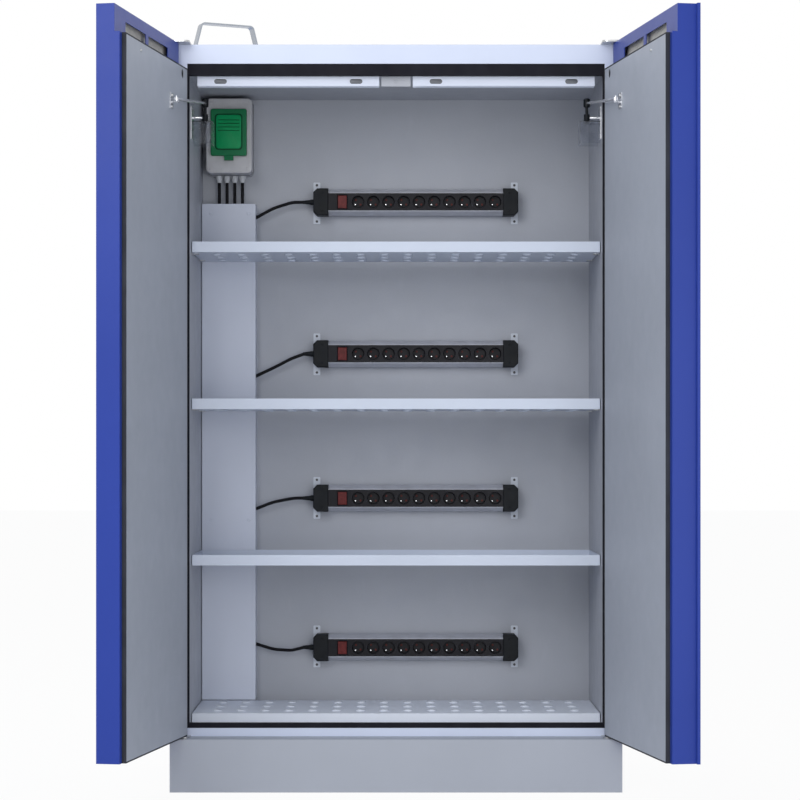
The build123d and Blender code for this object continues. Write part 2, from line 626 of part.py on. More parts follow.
def cable_glands():
    """Four screwed glands under the box: thread, hexagon, dome nut and a bore for the cable."""
    glands = []
    for x, y in gland_places():
        low = BOX_Z[0]
        nut = extrude(Plane(origin=(x, y, low)) * RegularPolygon(GLAND_RADIUS * 1.1, 6), -GLAND_LENGTH * 0.35)
        dome = Pos(x, y, low - GLAND_LENGTH) * Cone(GLAND_RADIUS * 0.65, GLAND_RADIUS, GLAND_LENGTH * 0.65,
                                                    align=(Align.CENTER, Align.CENTER, Align.MIN))
        thread = rod((x, y, low), (x, y, low + 8), GLAND_RADIUS * 0.7)
        bore = rod((x, y, low - GLAND_LENGTH - 1), (x, y, low + 9), CABLE_RADIUS)
        glands.append(nut + dome + thread - bore)
    return glands


def feeder_cables():
    """Four straight cables from the box's glands down into the duct."""
    return [rod((x, y, DUCT_TOP - 30), (x, y, BOX_Z[0] + 20), CABLE_RADIUS) for x, y in gland_places()]


# ---- Cable duct -----------------------------------------------------------------------------
DUCT_X = (-INNER_HALF + 2.0, -INNER_HALF + 2.0 + DUCT_WIDTH)
DUCT_Y = (INNER_BACK - DUCT_DEPTH, INNER_BACK)
DUCT_BOTTOM = INNER_FLOOR + SHELF_LIP + 1.5
DUCT_TOP = BOX_Z[0] - DUCT_BELOW_BOX
LEAD_Y = INNER_BACK - DUCT_DEPTH / 2


def cable_duct():
    """White sheet duct, open at the back, with holes for the feeders and the strips' leads."""
    z = (DUCT_BOTTOM, DUCT_TOP)
    duct = block(DUCT_X, DUCT_Y, z)
    duct -= block((DUCT_X[0] + SHEET, DUCT_X[1] - SHEET), (DUCT_Y[0] + SHEET, DUCT_Y[1]),
                  (z[0], z[1] - SHEET))
    for x, y in gland_places():
        duct -= rod((x, y, z[1] - 5), (x, y, z[1] + 5), CABLE_RADIUS + DUCT_HOLE_GAP)
    for level in (lead_height_at_duct(n) for n in range(len(STRIP_HEIGHTS))):
        duct -= rod((DUCT_X[1] - 5, LEAD_Y, level), (DUCT_X[1] + 5, LEAD_Y, level),
                    LEAD_RADIUS + DUCT_HOLE_GAP)
    return duct


# ---- Socket strips --------------------------------------------------------------------------
STRIP_BACK = INNER_BACK - BRACKET_SHEET
STRIP_FRONT = STRIP_BACK - STRIP_DEPTH
STRIP_RIGHT = STRIP_LEFT + STRIP_LENGTH
CORE_X = (STRIP_LEFT + CAP_LENGTH, STRIP_RIGHT - CAP_LENGTH)
FIRST_SOCKET = STRIP_LEFT + FIRST_SOCKET_INSET
ROCKER_X = FIRST_SOCKET - ROCKER_BEFORE_SOCKET
ROCKER_Y = STRIP_FRONT + 3.0
BRACKET_INSET = 9.0
BOSS_LENGTH = 8.0
LEAD_ROUTES = (
    ((0, 0), (-52, 0), (-106, -17), (-170, -52)),
    ((0, 0), (-18, 0), (-56, -14), (-106, -40), (-170, -70)),
    ((0, 0), (-48, 0), (-106, -11), (-170, -36)),
    ((0, 0), (-18, 0), (-54, -9), (-104, -6), (-170, 14)),
)


def strip_profile(level):
    """Aluminium extrusion with sloping flanks and a channel for the socket insert."""
    half, brim = STRIP_HEIGHT / 2, STRIP_BRIM / 2
    front, back = STRIP_FRONT, STRIP_BACK
    shoulder = back - STRIP_DEPTH * 0.45
    outline = [(back, half - 6), (shoulder, half), (front + 2, brim + 3), (front, brim),
               (front + INSERT_DEPTH, brim), (front + INSERT_DEPTH, -brim), (front, -brim),
               (front + 2, -brim - 3), (shoulder, -half), (back, 6 - half)]
    sketch = make_face(Polyline([(y, z) for y, z in outline], close=True))
    plane = Plane(origin=(CORE_X[0], 0, level), x_dir=(0, 1, 0), z_dir=(1, 0, 0))
    return extrude(plane * sketch, CORE_X[1] - CORE_X[0])


def strip_insert(level):
    """Black socket insert with round wells and a pocket for the rocker."""
    brim = STRIP_BRIM / 2
    insert = block(CORE_X, (STRIP_FRONT, STRIP_FRONT + INSERT_DEPTH), (level - brim, level + brim))
    for n in range(SOCKETS):
        x = FIRST_SOCKET + n * SOCKET_PITCH
        insert -= rod((x, STRIP_FRONT - 1, level), (x, STRIP_FRONT + SOCKET_DEPTH, level), SOCKET_RADIUS)
    half_x = ROCKER_WIDTH / 2 + ROCKER_SPACE
    half_z = ROCKER_HEIGHT / 2 + ROCKER_SPACE
    insert -= block((ROCKER_X - half_x, ROCKER_X + half_x), (STRIP_FRONT - 1, STRIP_FRONT + ROCKER_DEPTH + 5),
                    (level - half_z, level + half_z))
    return insert


def rocker(level):
    """Rocker of the strip's switch, tipped to its on side."""
    key = block((-ROCKER_WIDTH / 2, ROCKER_WIDTH / 2), (-ROCKER_DEPTH / 2, ROCKER_DEPTH / 2),
                (-ROCKER_HEIGHT / 2, ROCKER_HEIGHT / 2))
    key = fillet(key.faces().sort_by(Axis.Y)[0].edges(), 1)
    return Pos(ROCKER_X, ROCKER_Y, level) * Rot(ROCKER_TILT, 0, 0) * key


def strip_caps(level):
    """Moulded caps on both ends of a strip, the left one with the lead's boss."""
    half = STRIP_HEIGHT / 2 + 1
    cap = block((STRIP_LEFT, CORE_X[0]), (STRIP_FRONT - 2, STRIP_BACK), (level - half, level + half))
    cap = chamfer(cap.edges().filter_by(Axis.Y).group_by(Axis.X)[0], CAP_CHAMFER)
    cap = fillet(cap.faces().sort_by(Axis.Y)[0].edges(), 2.5)
    middle = (STRIP_LEFT + STRIP_RIGHT) / 2
    other = Pos(middle, 0, 0) * mirror(Pos(-middle, 0, 0) * cap, about=Plane.YZ)
    boss = rod((STRIP_LEFT - BOSS_LENGTH, LEAD_Y, level), (STRIP_LEFT, LEAD_Y, level), LEAD_RADIUS * 1.8)
    return [cap + boss, other]


def strip_bracket(x, level):
    """White wall plate behind a cap, with a hole above and below the strip."""
    plate = block((x - BRACKET_WIDTH / 2, x + BRACKET_WIDTH / 2), (STRIP_BACK, INNER_BACK),
                  (level - BRACKET_HEIGHT / 2, level + BRACKET_HEIGHT / 2))
    plate = fillet(plate.edges().filter_by(Axis.Y), 3)
    for z in (level - BRACKET_HEIGHT / 2 + 8, level + BRACKET_HEIGHT / 2 - 8):
        plate -= rod((x, STRIP_BACK - 1, z), (x, INNER_BACK + 1, z), BRACKET_HOLE)
    return plate


def lead_points(n):
    """Route of one strip's lead, from its boss to inside the duct."""
    start = STRIP_LEFT - BOSS_LENGTH
    return [(start + dx, LEAD_Y, STRIP_HEIGHTS[n] + dz) for dx, dz in LEAD_ROUTES[n]]


def lead_height_at_duct(n):
    """Height at which a lead passes through the duct's wall."""
    before, after = lead_points(n)[-2:]
    share = (DUCT_X[1] - before[0]) / (after[0] - before[0])
    return before[2] + share * (after[2] - before[2])


def strip_lead(n):
    """One strip's lead: straight runs joined by the largest arcs that fit."""
    points = [Vector(*point) for point in lead_points(n)]
    radii = []
    for before, here, after in zip(points, points[1:], points[2:]):
        turn = math.radians((here - before).get_angle(after - here))
        run = min((here - before).length, (after - here).length)
        radii.append(0.45 * run / math.tan(turn / 2))
    path = FilletPolyline(*points, radius=radii)
    section = Plane(origin=points[0], z_dir=points[1] - points[0]) * Circle(LEAD_RADIUS)
    lead = sweep(section, path=path)
    print(f"lead {n + 1}: length {path.length:.1f}, radii {[round(r) for r in radii]}, "
          f"volume ratio {lead.volume / (path.length * math.pi * LEAD_RADIUS ** 2):.4f}")
    return lead


# ---- Roof bow and door handle ---------------------------------------------------------------
BOW_INSET = 130.5
BOW_SPAN = 148.0
BOW_SPLAY = 22.0
BOW_RISE = 86.0
BOW_SETBACK = 200.0
BOW_BAND = 26.0
BOW_SHEET = 4.0
BOW_BEND = 11.0
BOW_TURN = 25.0
HANDLE_X = 105.0
HANDLE_LEVEL = 920.0
HANDLE_PLATE = (44.0, 170.0, 8.0)
HANDLE_ARM = (24.0, 118.0, 12.0)
HANDLE_REACH = 24.0
SPINDLE_RADIUS = 11.0


def roof_bow():
    """Bright flat band bent into a carrying bow on the roof, set askew, with two flat feet."""
    half, foot, low = BOW_SPAN / 2, BOW_SPAN / 2 + BOW_SPLAY, BOW_SHEET / 2
    points = [Vector(-foot, 0, low), Vector(-half, 0, BOW_RISE),
              Vector(half, 0, BOW_RISE), Vector(foot, 0, low)]
    path = FilletPolyline(*points, radius=BOW_BEND)
    section = Plane(origin=points[0], z_dir=points[1] - points[0], x_dir=(0, 1, 0))
    bow = sweep(section * Rectangle(BOW_BAND, BOW_SHEET), path=path)
    for side in (-1, 1):
        bow += Pos(side * foot, 0, BOW_SHEET / 2) * Box(BOW_BAND, BOW_BAND, BOW_SHEET)
    return Pos(-HALF + BOW_INSET, BOW_SETBACK, HEIGHT) * Rot(0, 0, BOW_TURN) * bow


def handle_plate():
    """Escutcheon on the right door's outer face, bored for the spindle, with a key barrel."""
    width, height, thick = HANDLE_PLATE
    middle = HANDLE_LEVEL - height * 0.2
    place = Plane(origin=(HANDLE_X, DOOR_FRONT, middle), x_dir=(1, 0, 0), z_dir=(0, -1, 0))
    plate = extrude(place * RectangleRounded(width, height, width * 0.3), thick)
    plate = chamfer(plate.faces().sort_by(Axis.Y)[0].edges(), 2)
    low = HANDLE_LEVEL - height * 0.55
    plate += rod((HANDLE_X, DOOR_FRONT - thick, low), (HANDLE_X, DOOR_FRONT - thick - 4, low), 9)
    return plate - rod((HANDLE_X, DOOR_FRONT - thick - 1, HANDLE_LEVEL), (HANDLE_X, DOOR_FRONT, HANDLE_LEVEL),
                       SPINDLE_RADIUS + PIN_CLEARANCE)


def door_handle():
    """Lever that turns about the spindle and hangs down when the door is locked."""
    width, length, thick = HANDLE_ARM
    face = DOOR_FRONT - HANDLE_REACH
    middle = HANDLE_LEVEL - length / 2 + width / 2
    place = Plane(origin=(HANDLE_X, face, middle), x_dir=(1, 0, 0), z_dir=(0, -1, 0))
    arm = extrude(place * RectangleRounded(width, length, width * 0.45), thick)
    arm = fillet(arm.faces().sort_by(Axis.Y)[0].edges(), 3)
    spindle = rod((HANDLE_X, DOOR_FRONT - 0.5, HANDLE_LEVEL), (HANDLE_X, face, HANDLE_LEVEL), SPINDLE_RADIUS)
    return arm + spindle


# ---- Write every sub-part -------------------------------------------------------------------
save("plinth_frame", plinth_frame())
save("plinth_panel", plinth_panel())
save("levelling_feet", *levelling_feet())
save("casing_wrap", casing_wrap())
save("casing_back", casing_back())
save("casing_floor", casing_floor())
save("fire_boards", *fire_boards())
save("side_linings", *side_linings())
save("floor_and_ceiling_linings",
     flat_lining((INNER_FRONT, INNER_BACK + LINING), (INNER_FLOOR - LINING, INNER_FLOOR)),
     flat_lining((INNER_FRONT, INNER_BACK + LINING), (INNER_CEILING, INNER_CEILING + LINING)))
save("back_lining", flat_lining((INNER_BACK, INNER_BACK + LINING), (INNER_FLOOR, INNER_CEILING)))
save("opening_seal", opening_seal())
save("pivot_plates", *pivot_plates())

shell, board, panel, seal, foot = door_shell(), door_board(), door_panel(), door_seal(), stay_bracket()
for name, piece in (("shell", shell), ("board", board), ("panel", panel), ("seal", seal), ("bracket", foot)):
    save(f"left_door_{name}", opened(piece))
    strip = [opened(meeting_strip(), 1)] if name == "shell" else []
    save(f"right_door_{name}", sum(strip, opened(mirrored(piece), 1)))
save("door_handle", opened(door_handle(), 1))
save("handle_plate", opened(handle_plate(), 1))

for name, piece in (("rod", stay_rod()), ("elbow", stay_elbow())):
    save(f"left_stay_{name}", piece)
    save(f"right_stay_{name}", mirrored(piece))
wall_feet, damper, guard = stay_guard()
save("stay_wall_feet", *wall_feet, *[mirrored(piece) for piece in wall_feet])
save("stay_dampers", damper, mirrored(damper))
save("stay_guards", guard, mirrored(guard))

rail = closer_rail()
save("closer_rails", mirrored(rail), rail)
save("bolt_keeper", bolt_keeper())
save("shelves", *[perforated_pan(top, True) for top in SHELF_TOPS])
save("bottom_tray", perforated_pan(INNER_FLOOR + SHELF_LIP, False))
save("shelf_supports", *shelf_supports())

save("box_base", box_base())
save("box_cover", box_cover())
save("box_flap", box_flap())
save("breakers", *breakers())
for n, x in enumerate(breaker_places()):
    save(f"breaker_toggle_{n + 1}", toggle(x))
save("cable_glands", *cable_glands())
save("feeder_cables", *feeder_cables())
save("cable_duct", cable_duct())

save("strip_profiles", *[strip_profile(level) for level in STRIP_HEIGHTS])
save("strip_inserts", *[strip_insert(level) for level in STRIP_HEIGHTS])
save("strip_caps", *[cap for level in STRIP_HEIGHTS for cap in strip_caps(level)])
save("strip_brackets", *[strip_bracket(x, level) for level in STRIP_HEIGHTS
                         for x in (STRIP_LEFT + BRACKET_INSET, STRIP_RIGHT - BRACKET_INSET)])
for n, level in enumerate(STRIP_HEIGHTS):
    save(f"strip_rocker_{n + 1}", rocker(level))
    save(f"strip_lead_{n + 1}", strip_lead(n))
save("roof_bow", roof_bow())
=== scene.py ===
"""Looks of a two-door battery charging cabinet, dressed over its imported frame.

Every size is in metres, +Z is up, +X runs to the right of someone who faces the doors, and the
origin lies on the floor under the plinth's front board.
"""
from __future__ import annotations

import logging
import math
from dataclasses import dataclass, field
from enum import Enum

import bmesh
import bpy
from mathutils import Matrix, Vector

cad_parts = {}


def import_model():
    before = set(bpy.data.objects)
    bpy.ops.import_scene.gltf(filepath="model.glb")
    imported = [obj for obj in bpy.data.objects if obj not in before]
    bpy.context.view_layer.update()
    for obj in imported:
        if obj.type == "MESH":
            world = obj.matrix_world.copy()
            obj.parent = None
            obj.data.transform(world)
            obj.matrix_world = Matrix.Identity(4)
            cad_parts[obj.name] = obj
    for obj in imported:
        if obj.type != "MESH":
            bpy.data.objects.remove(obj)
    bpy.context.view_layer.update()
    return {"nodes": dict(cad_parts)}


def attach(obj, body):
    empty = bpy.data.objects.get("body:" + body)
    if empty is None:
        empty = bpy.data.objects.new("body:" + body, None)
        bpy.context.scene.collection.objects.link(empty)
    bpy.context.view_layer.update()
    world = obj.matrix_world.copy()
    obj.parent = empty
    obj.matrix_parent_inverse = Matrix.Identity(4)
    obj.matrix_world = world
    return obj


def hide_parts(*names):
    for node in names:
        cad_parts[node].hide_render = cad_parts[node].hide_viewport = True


log = logging.getLogger("battery_cabinet")

Colour = tuple[float, float, float]
Pair = tuple[float, float]
Point = tuple[float, float, float]
Socket = bpy.types.NodeSocket
Mesh = bpy.types.Mesh
Thing = bpy.types.Object

BODY_FRONT = 0.0705


class Body(Enum):
    """The bodies of the frame that dressed pieces ride on."""

    CABINET = "cabinet"
    LEFT_DOOR = "left_door"
    RIGHT_DOOR = "right_door"
    FLAP = "box_flap"


class Side(Enum):
    """Which side of the cabinet a piece belongs to, as the sign of its X."""

    LEFT = -1
    RIGHT = 1


# ---- Finishes -------------------------------------------------------------------------------
class ShaderBoard:
    """A material's node tree, with short calls for the nodes that the finishes share."""

    def __init__(self, name: str) -> None:
        """Start a material with a Principled shader.

        Args:
            name: The material's name.
        """
        self.material = bpy.data.materials.new(name)
        self.material.use_nodes = True
        self.nodes = self.material.node_tree.nodes
        self.links = self.material.node_tree.links
        self.shader = self.nodes["Principled BSDF"]
        self.place = self.nodes.new("ShaderNodeTexCoord").outputs["Object"]

    def set(self, **values: float | tuple[float, ...]) -> None:
        """Set even values on the shader's own sockets.

        Args:
            values: Socket names in lower case with underscores, and their values.
        """
        for key, value in values.items():
            label = key.replace("_", " ").title().replace("Ior", "IOR")
            self.shader.inputs[label].default_value = value

    def stretched(self, scale: Point) -> Socket:
        """Object coordinates stretched along each axis.

        Args:
            scale: Factor along X, Y and Z.

        Returns:
            The stretched coordinates.
        """
        mapping = self.nodes.new("ShaderNodeMapping")
        mapping.inputs["Scale"].default_value = scale
        self.links.new(self.place, mapping.inputs["Vector"])
        return mapping.outputs["Vector"]

    def noise(self, scale: float, detail: float = 3.0, stretch: Point | None = None) -> Socket:
        """Even noise over the piece.

        Args:
            scale: Grains per metre.
            detail: Octaves.
            stretch: Factors that draw the noise out along an axis.

        Returns:
            The noise from 0 to 1.
        """
        node = self.nodes.new("ShaderNodeTexNoise")
        node.inputs["Scale"].default_value = scale
        node.inputs["Detail"].default_value = detail
        self.links.new(self.stretched(stretch) if stretch else self.place, node.inputs["Vector"])
        return node.outputs["Fac"]

    def cells(self, scale: float) -> Socket:
        """Distance to the nearest of many scattered points.

        Args:
            scale: Points per metre.

        Returns:
            The distance, 0 at each point.
        """
        node = self.nodes.new("ShaderNodeTexVoronoi")
        node.inputs["Scale"].default_value = scale
        self.links.new(self.place, node.inputs["Vector"])
        return node.outputs["Distance"]

    def span(self, source: Socket, before: Pair, after: Pair) -> Socket:
        """A value moved from one range to another, and held inside it.

        Args:
            source: The value.
            before: The range it comes from.
            after: The range it goes to.

        Returns:
            The moved value.
        """
        node = self.nodes.new("ShaderNodeMapRange")
        for key, value in zip(("From Min", "From Max", "To Min", "To Max"), (*before, *after)):
            node.inputs[key].default_value = value
        self.links.new(source, node.inputs["Value"])
        return node.outputs["Result"]

    def product(self, first: Socket, second: Socket) -> Socket:
        """Two values multiplied.

        Args:
            first: One value.
            second: The other value.

        Returns:
            Their product.
        """
        node = self.nodes.new("ShaderNodeMath")
        node.operation = "MULTIPLY"
        self.links.new(first, node.inputs[0])
        self.links.new(second, node.inputs[1])
        return node.outputs["Value"]

    def blend(self, factor: Socket, first: Colour | Socket, second: Colour | Socket) -> Socket:
        """Two colours mixed by a factor.

        Args:
            factor: 0 gives the first colour and 1 the second.
            first: A colour or a socket that gives one.
            second: A colour or a socket that gives one.

        Returns:
            The mixed colour.
        """
        node = self.nodes.new("ShaderNodeMix")
        node.data_type = "RGBA"
        self.links.new(factor, node.inputs[0])
        for source, target in ((first, node.inputs[6]), (second, node.inputs[7])):
            if isinstance(source, tuple):
                target.default_value = (*source, 1.0)
            else:
                self.links.new(source, target)
        return node.outputs[2]

    def edge(self, radius: float) -> Socket:
        """How close the surface is to an outer or inner edge.

        Args:
            radius: Reach of the edge.

        Returns:
            0 on a flat face, rising towards an edge.
        """
        bevel = self.nodes.new("ShaderNodeBevel")
        bevel.samples = 4
        bevel.inputs["Radius"].default_value = radius
        geometry = self.nodes.new("ShaderNodeNewGeometry")
        dot = self.nodes.new("ShaderNodeVectorMath")
        dot.operation = "DOT_PRODUCT"
        self.links.new(bevel.outputs["Normal"], dot.inputs[0])
        self.links.new(geometry.outputs["Normal"], dot.inputs[1])
        return self.span(dot.outputs["Value"], (0.995, 0.8), (0.0, 1.0))

    def relief(self, height: Socket, strength: float, depth: float, rounding: float = 0.0) -> None:
        """Give the surface a relief, over edges rounded to a small radius.

        Args:
            height: Height map.
            strength: Share of the relief.
            depth: Height of the relief in metres.
            rounding: Radius to which edges are softened.
        """
        bump = self.nodes.new("ShaderNodeBump")
        bump.inputs["Strength"].default_value = strength
        bump.inputs["Distance"].default_value = depth
        self.links.new(height, bump.inputs["Height"])
        if rounding:
            bevel = self.nodes.new("ShaderNodeBevel")
            bevel.samples = 4
            bevel.inputs["Radius"].default_value = rounding
            self.links.new(bevel.outputs["Normal"], bump.inputs["Normal"])
        self.links.new(bump.outputs["Normal"], self.shader.inputs["Normal"])

    def colour(self, source: Socket) -> None:
        """Link a colour to the shader."""
        self.links.new(source, self.shader.inputs["Base Color"])

    def roughness(self, source: Socket) -> None:
        """Link a roughness to the shader."""
        self.links.new(source, self.shader.inputs["Roughness"])


def shaded(colour: Colour, factor: float) -> Colour:
    """A colour made darker or lighter.

    Args:
        colour: The colour to change.
        factor: Below 1 darkens it, above 1 lightens it.

    Returns:
        The new colour, held below 1.
    """
    return tuple(min(channel * factor, 1.0) for channel in colour)


@dataclass(frozen=True)
class Finish:
    """What every finish has: a name and the colour it starts from."""

    name: str
    colour: Colour

    def make(self) -> bpy.types.Material:
        """Build the material; each kind of finish has its own."""
        raise NotImplementedError


@dataclass(frozen=True)
class PowderCoat(Finish):
    """Sprayed and baked paint: orange-peel skin, faint mottling, rubbed edges and a little dust."""

    roughness: float = 0.38
    peel: float = 260.0
    rub: float = 0.25
    gloss: float = 0.45

    def make(self) -> bpy.types.Material:
        """Build the material.

        Returns:
            The painted finish.
        """
        board = ShaderBoard(self.name)
        cloudy = board.blend(board.span(board.noise(2.6, 4), (0.35, 0.65), (0, 1)),
                             shaded(self.colour, 0.965), shaded(self.colour, 1.02))
        streaks = board.span(board.noise(9.0, 5, (1.0, 1.0, 0.12)), (0.5, 0.85), (0, 0.10))
        dusty = board.blend(streaks, cloudy, shaded(self.colour, 0.78))
        patches = board.span(board.noise(60, 4), (0.42, 0.62), (0, self.rub))
        worn = board.product(board.edge(0.0016), patches)
        board.colour(board.blend(worn, dusty, shaded(self.colour, 1.35)))
        gloss_range = (self.roughness - 0.02, self.roughness + 0.03)
        board.roughness(board.span(board.noise(14, 5), (0.3, 0.7), gloss_range))
        board.relief(board.noise(self.peel, 2), 0.10, 0.0006, 0.0010)
        board.set(specular_ior_level=self.gloss)
        return board.material


@dataclass(frozen=True)
class Laminate(Finish):
    """Hard laminate on a board: fine speckle, pearl bump and faint scuffs."""

    speckle: float = 900.0

    def make(self) -> bpy.types.Material:
        """Build the material.

        Returns:
            The laminated finish.
        """
        board = ShaderBoard(self.name)
        ground = board.blend(board.span(board.noise(3.1, 4), (0.3, 0.7), (0, 1)),
                             shaded(self.colour, 0.955), shaded(self.colour, 1.03))
        flecked = board.blend(board.span(board.noise(self.speckle, 2), (0.55, 0.72), (0, 0.30)),
                              ground, shaded(self.colour, 0.72))
        scuffs = board.span(board.noise(34, 6, (1.0, 1.0, 0.25)), (0.62, 0.80), (0, 0.16))
        board.colour(board.blend(scuffs, flecked, shaded(self.colour, 1.25)))
        board.roughness(board.span(board.noise(22, 4), (0.3, 0.7), (0.42, 0.55)))
        board.relief(board.noise(700, 2), 0.12, 0.0003, 0.0006)
        return board.material


@dataclass(frozen=True)
class MineralBoard(Finish):
    """Pressed mineral board: chalky, pitted and slightly fibrous."""

    def make(self) -> bpy.types.Material:
        """Build the material.

        Returns:
            The board's finish.
        """
        board = ShaderBoard(self.name)
        fibres = board.noise(160, 6, (1.0, 0.25, 1.0))
        tinted = board.blend(board.span(fibres, (0.35, 0.7), (0, 1)),
                             shaded(self.colour, 0.84), self.colour)
        pits = board.span(board.cells(420), (0.05, 0.22), (0.45, 0))
        board.colour(board.blend(pits, tinted, shaded(self.colour, 0.55)))
        board.set(roughness=0.92)
        board.relief(board.cells(420), 0.4, 0.0006)
        return board.material


@dataclass(frozen=True)
class Moulded(Finish):
    """Injection-moulded plastic with a spark-eroded skin."""

    roughness: float = 0.45
    grain: float = 1100.0
    depth: float = 0.0002
    sheen_over: float = 0.0
    gloss: float = 0.4

    def make(self) -> bpy.types.Material:
        """Build the material.

        Returns:
            The moulded finish.
        """
        board = ShaderBoard(self.name)
        flow = board.blend(board.span(board.noise(18, 4), (0.35, 0.65), (0, 1)),
                           shaded(self.colour, 0.90), shaded(self.colour, 1.08))
        rubbed = board.span(board.edge(0.0010), (0, 1), (0, 0.28))
        board.colour(board.blend(rubbed, flow, shaded(self.colour, 1.7)))
        gloss_range = (self.roughness - 0.06, self.roughness + 0.08)
        board.roughness(board.span(board.noise(40, 4), (0.3, 0.7), gloss_range))
        board.relief(board.noise(self.grain, 2), 0.25, self.depth, 0.0008)
        board.set(coat_weight=self.sheen_over, coat_roughness=0.12, specular_ior_level=self.gloss)
        return board.material


@dataclass(frozen=True)
class Rubber(Finish):
    """Extruded rubber: matt, with lengthwise drag lines and grey bloom."""

    lines: Point = (1.0, 1.0, 0.03)

    def make(self) -> bpy.types.Material:
        """Build the material.

        Returns:
            The rubber finish.
        """
        board = ShaderBoard(self.name)
        bloom = board.span(board.noise(11, 6), (0.45, 0.75), (0, 0.35))
        board.colour(board.blend(bloom, self.colour, shaded(self.colour, 2.4)))
        board.roughness(board.span(board.noise(30, 4), (0.3, 0.7), (0.55, 0.75)))
        board.relief(board.noise(700, 3, self.lines), 0.3, 0.0003, 0.0006)
        board.set(specular_ior_level=0.12)
        return board.material


@dataclass(frozen=True)
class BareMetal(Finish):
    """Plated, polished or anodised metal with a drawn grain."""

    roughness: float = 0.15
    grain: Point = (1.0, 1.0, 0.04)
    grain_depth: float = 0.00005
    metal: float = 1.0

    def make(self) -> bpy.types.Material:
        """Build the material.

        Returns:
            The metal finish.
        """
        board = ShaderBoard(self.name)
        board.colour(board.blend(board.span(board.noise(24, 5), (0.35, 0.7), (0, 1)),
                                 shaded(self.colour, 0.88), self.colour))
        gloss_range = (max(self.roughness - 0.06, 0.03), self.roughness + 0.10)
        board.roughness(board.span(board.noise(420, 4, self.grain), (0.3, 0.7), gloss_range))
        board.relief(board.noise(900, 3, self.grain), 0.2, self.grain_depth, 0.0005)
        board.set(metallic=self.metal)
        return board.material


@dataclass(frozen=True)
class ClearPlastic(Finish):
    """Clear or tinted moulding: light passes through, with faint haze and flow marks."""

    clearness: float = 0.9
    roughness: float = 0.10
    ior: float = 1.46
    gloss: float = 0.5

    def make(self) -> bpy.types.Material:
        """Build the material.

        Returns:
            The see-through finish.
        """
        board = ShaderBoard(self.name)
        haze = board.span(board.noise(40, 5), (0.3, 0.75), (0, 1))
        board.colour(board.blend(haze, self.colour, shaded(self.colour, 0.85)))
        gloss_range = (self.roughness, self.roughness + 0.10)
        board.roughness(board.span(board.noise(55, 4), (0.3, 0.7), gloss_range))
        board.relief(board.noise(120, 3), 0.08, 0.0003, 0.0006)
        board.set(transmission_weight=self.clearness, ior=self.ior, specular_ior_level=self.gloss)
        return board.material


@dataclass(frozen=True)
class LitPlastic(Finish):
    """Red lens of a switch, lit from behind, with a brighter patch over its lamp."""

    glow: float = 0.6

    def make(self) -> bpy.types.Material:
        """Build the material.

        Returns:
            The glowing finish.
        """
        board = ShaderBoard(self.name)
        patch = board.span(board.noise(90, 3), (0.35, 0.7), (0, 1))
        tint = board.blend(patch, shaded(self.colour, 0.6), self.colour)
        board.colour(tint)
        board.links.new(tint, board.shader.inputs["Emission Color"])
        board.set(emission_strength=self.glow, roughness=0.30, coat_weight=0.0,
                  specular_ior_level=0.2)
        board.relief(board.noise(500, 2), 0.1, 0.0002, 0.0006)
        return board.material


# ---- Patterns made by Geometry Nodes --------------------------------------------------------
class PatternTree:
    """A Geometry Nodes tree that repeats or sweeps a shape, and the mesh that it gives."""

    def __init__(self, name: str) -> None:
        """Start a tree with its geometry sockets.

        Args:
            name: The tree's name.
        """
        self.tree = bpy.data.node_groups.new(name, "GeometryNodeTree")
        self.tree.is_modifier = True
        self.keys: dict[str, str] = {}
        self.socket("Geometry", "NodeSocketGeometry")
        self.tree.interface.new_socket(name="Geometry", in_out="OUTPUT",
                                       socket_type="NodeSocketGeometry")

    def socket(self, name: str, kind: str) -> None:
        """Add a named input to the tree.

        Args:
            name: The input's name.
            kind: Its socket type.
        """
        made = self.tree.interface.new_socket(name=name, in_out="INPUT", socket_type=kind)
        self.keys[name] = made.identifier

    def node(self, kind: str) -> bpy.types.Node:
        """Add a node."""
        return self.tree.nodes.new(kind)

    def link(self, source: Socket, target: Socket) -> None:
        """Link two sockets."""
        self.tree.links.new(source, target)

    def close(self, source: Socket, entry: bpy.types.Node) -> None:
        """End the tree in Realize Instances and Set Material.

        Args:
            source: The geometry so far.
            entry: The tree's input node.
        """
        solid = self.node("GeometryNodeRealizeInstances")
        dressed = self.node("GeometryNodeSetMaterial")
        self.link(source, solid.inputs["Geometry"])
        self.link(solid.outputs["Geometry"], dressed.inputs["Geometry"])
        self.link(entry.outputs["Finish"], dressed.inputs["Material"])
        self.link(dressed.outputs["Geometry"], self.node("NodeGroupOutput").inputs["Geometry"])

    def bake(self, base: Thing, **values: object) -> Mesh:
        """Run the tree on an object and keep the result as a plain mesh.

        Args:
            base: The object that the tree works on; it is removed afterwards.
            values: The tree's inputs by name.

        Returns:
            The mesh.
        """
        modifier = base.modifiers.new("pattern", "NODES")
        modifier.node_group = self.tree
        for name, value in values.items():
            modifier[self.keys[name]] = value
        bpy.context.view_layer.update()
        graph = bpy.context.evaluated_depsgraph_get()
        mesh = bpy.data.meshes.new_from_object(base.evaluated_get(graph))
        base.modifiers.remove(modifier)
        bpy.data.objects.remove(base)
        return mesh


class PlacedTree(PatternTree):
    """Puts one stamp on every vertex of the base mesh."""

    def __init__(self) -> None:
        """Build the tree: instances on the points of the base."""
        super().__init__("placed_stamps")
        self.socket("Stamp", "NodeSocketObject")
        self.socket("Finish", "NodeSocketMaterial")
        entry = self.node("NodeGroupInput")
        stamp = self.node("GeometryNodeObjectInfo")
        spread = self.node("GeometryNodeInstanceOnPoints")
        self.link(entry.outputs["Stamp"], stamp.inputs["Object"])
        self.link(entry.outputs["Geometry"], spread.inputs["Points"])
        self.link(stamp.outputs["Geometry"], spread.inputs["Instance"])
        self.close(spread.outputs["Instances"], entry)


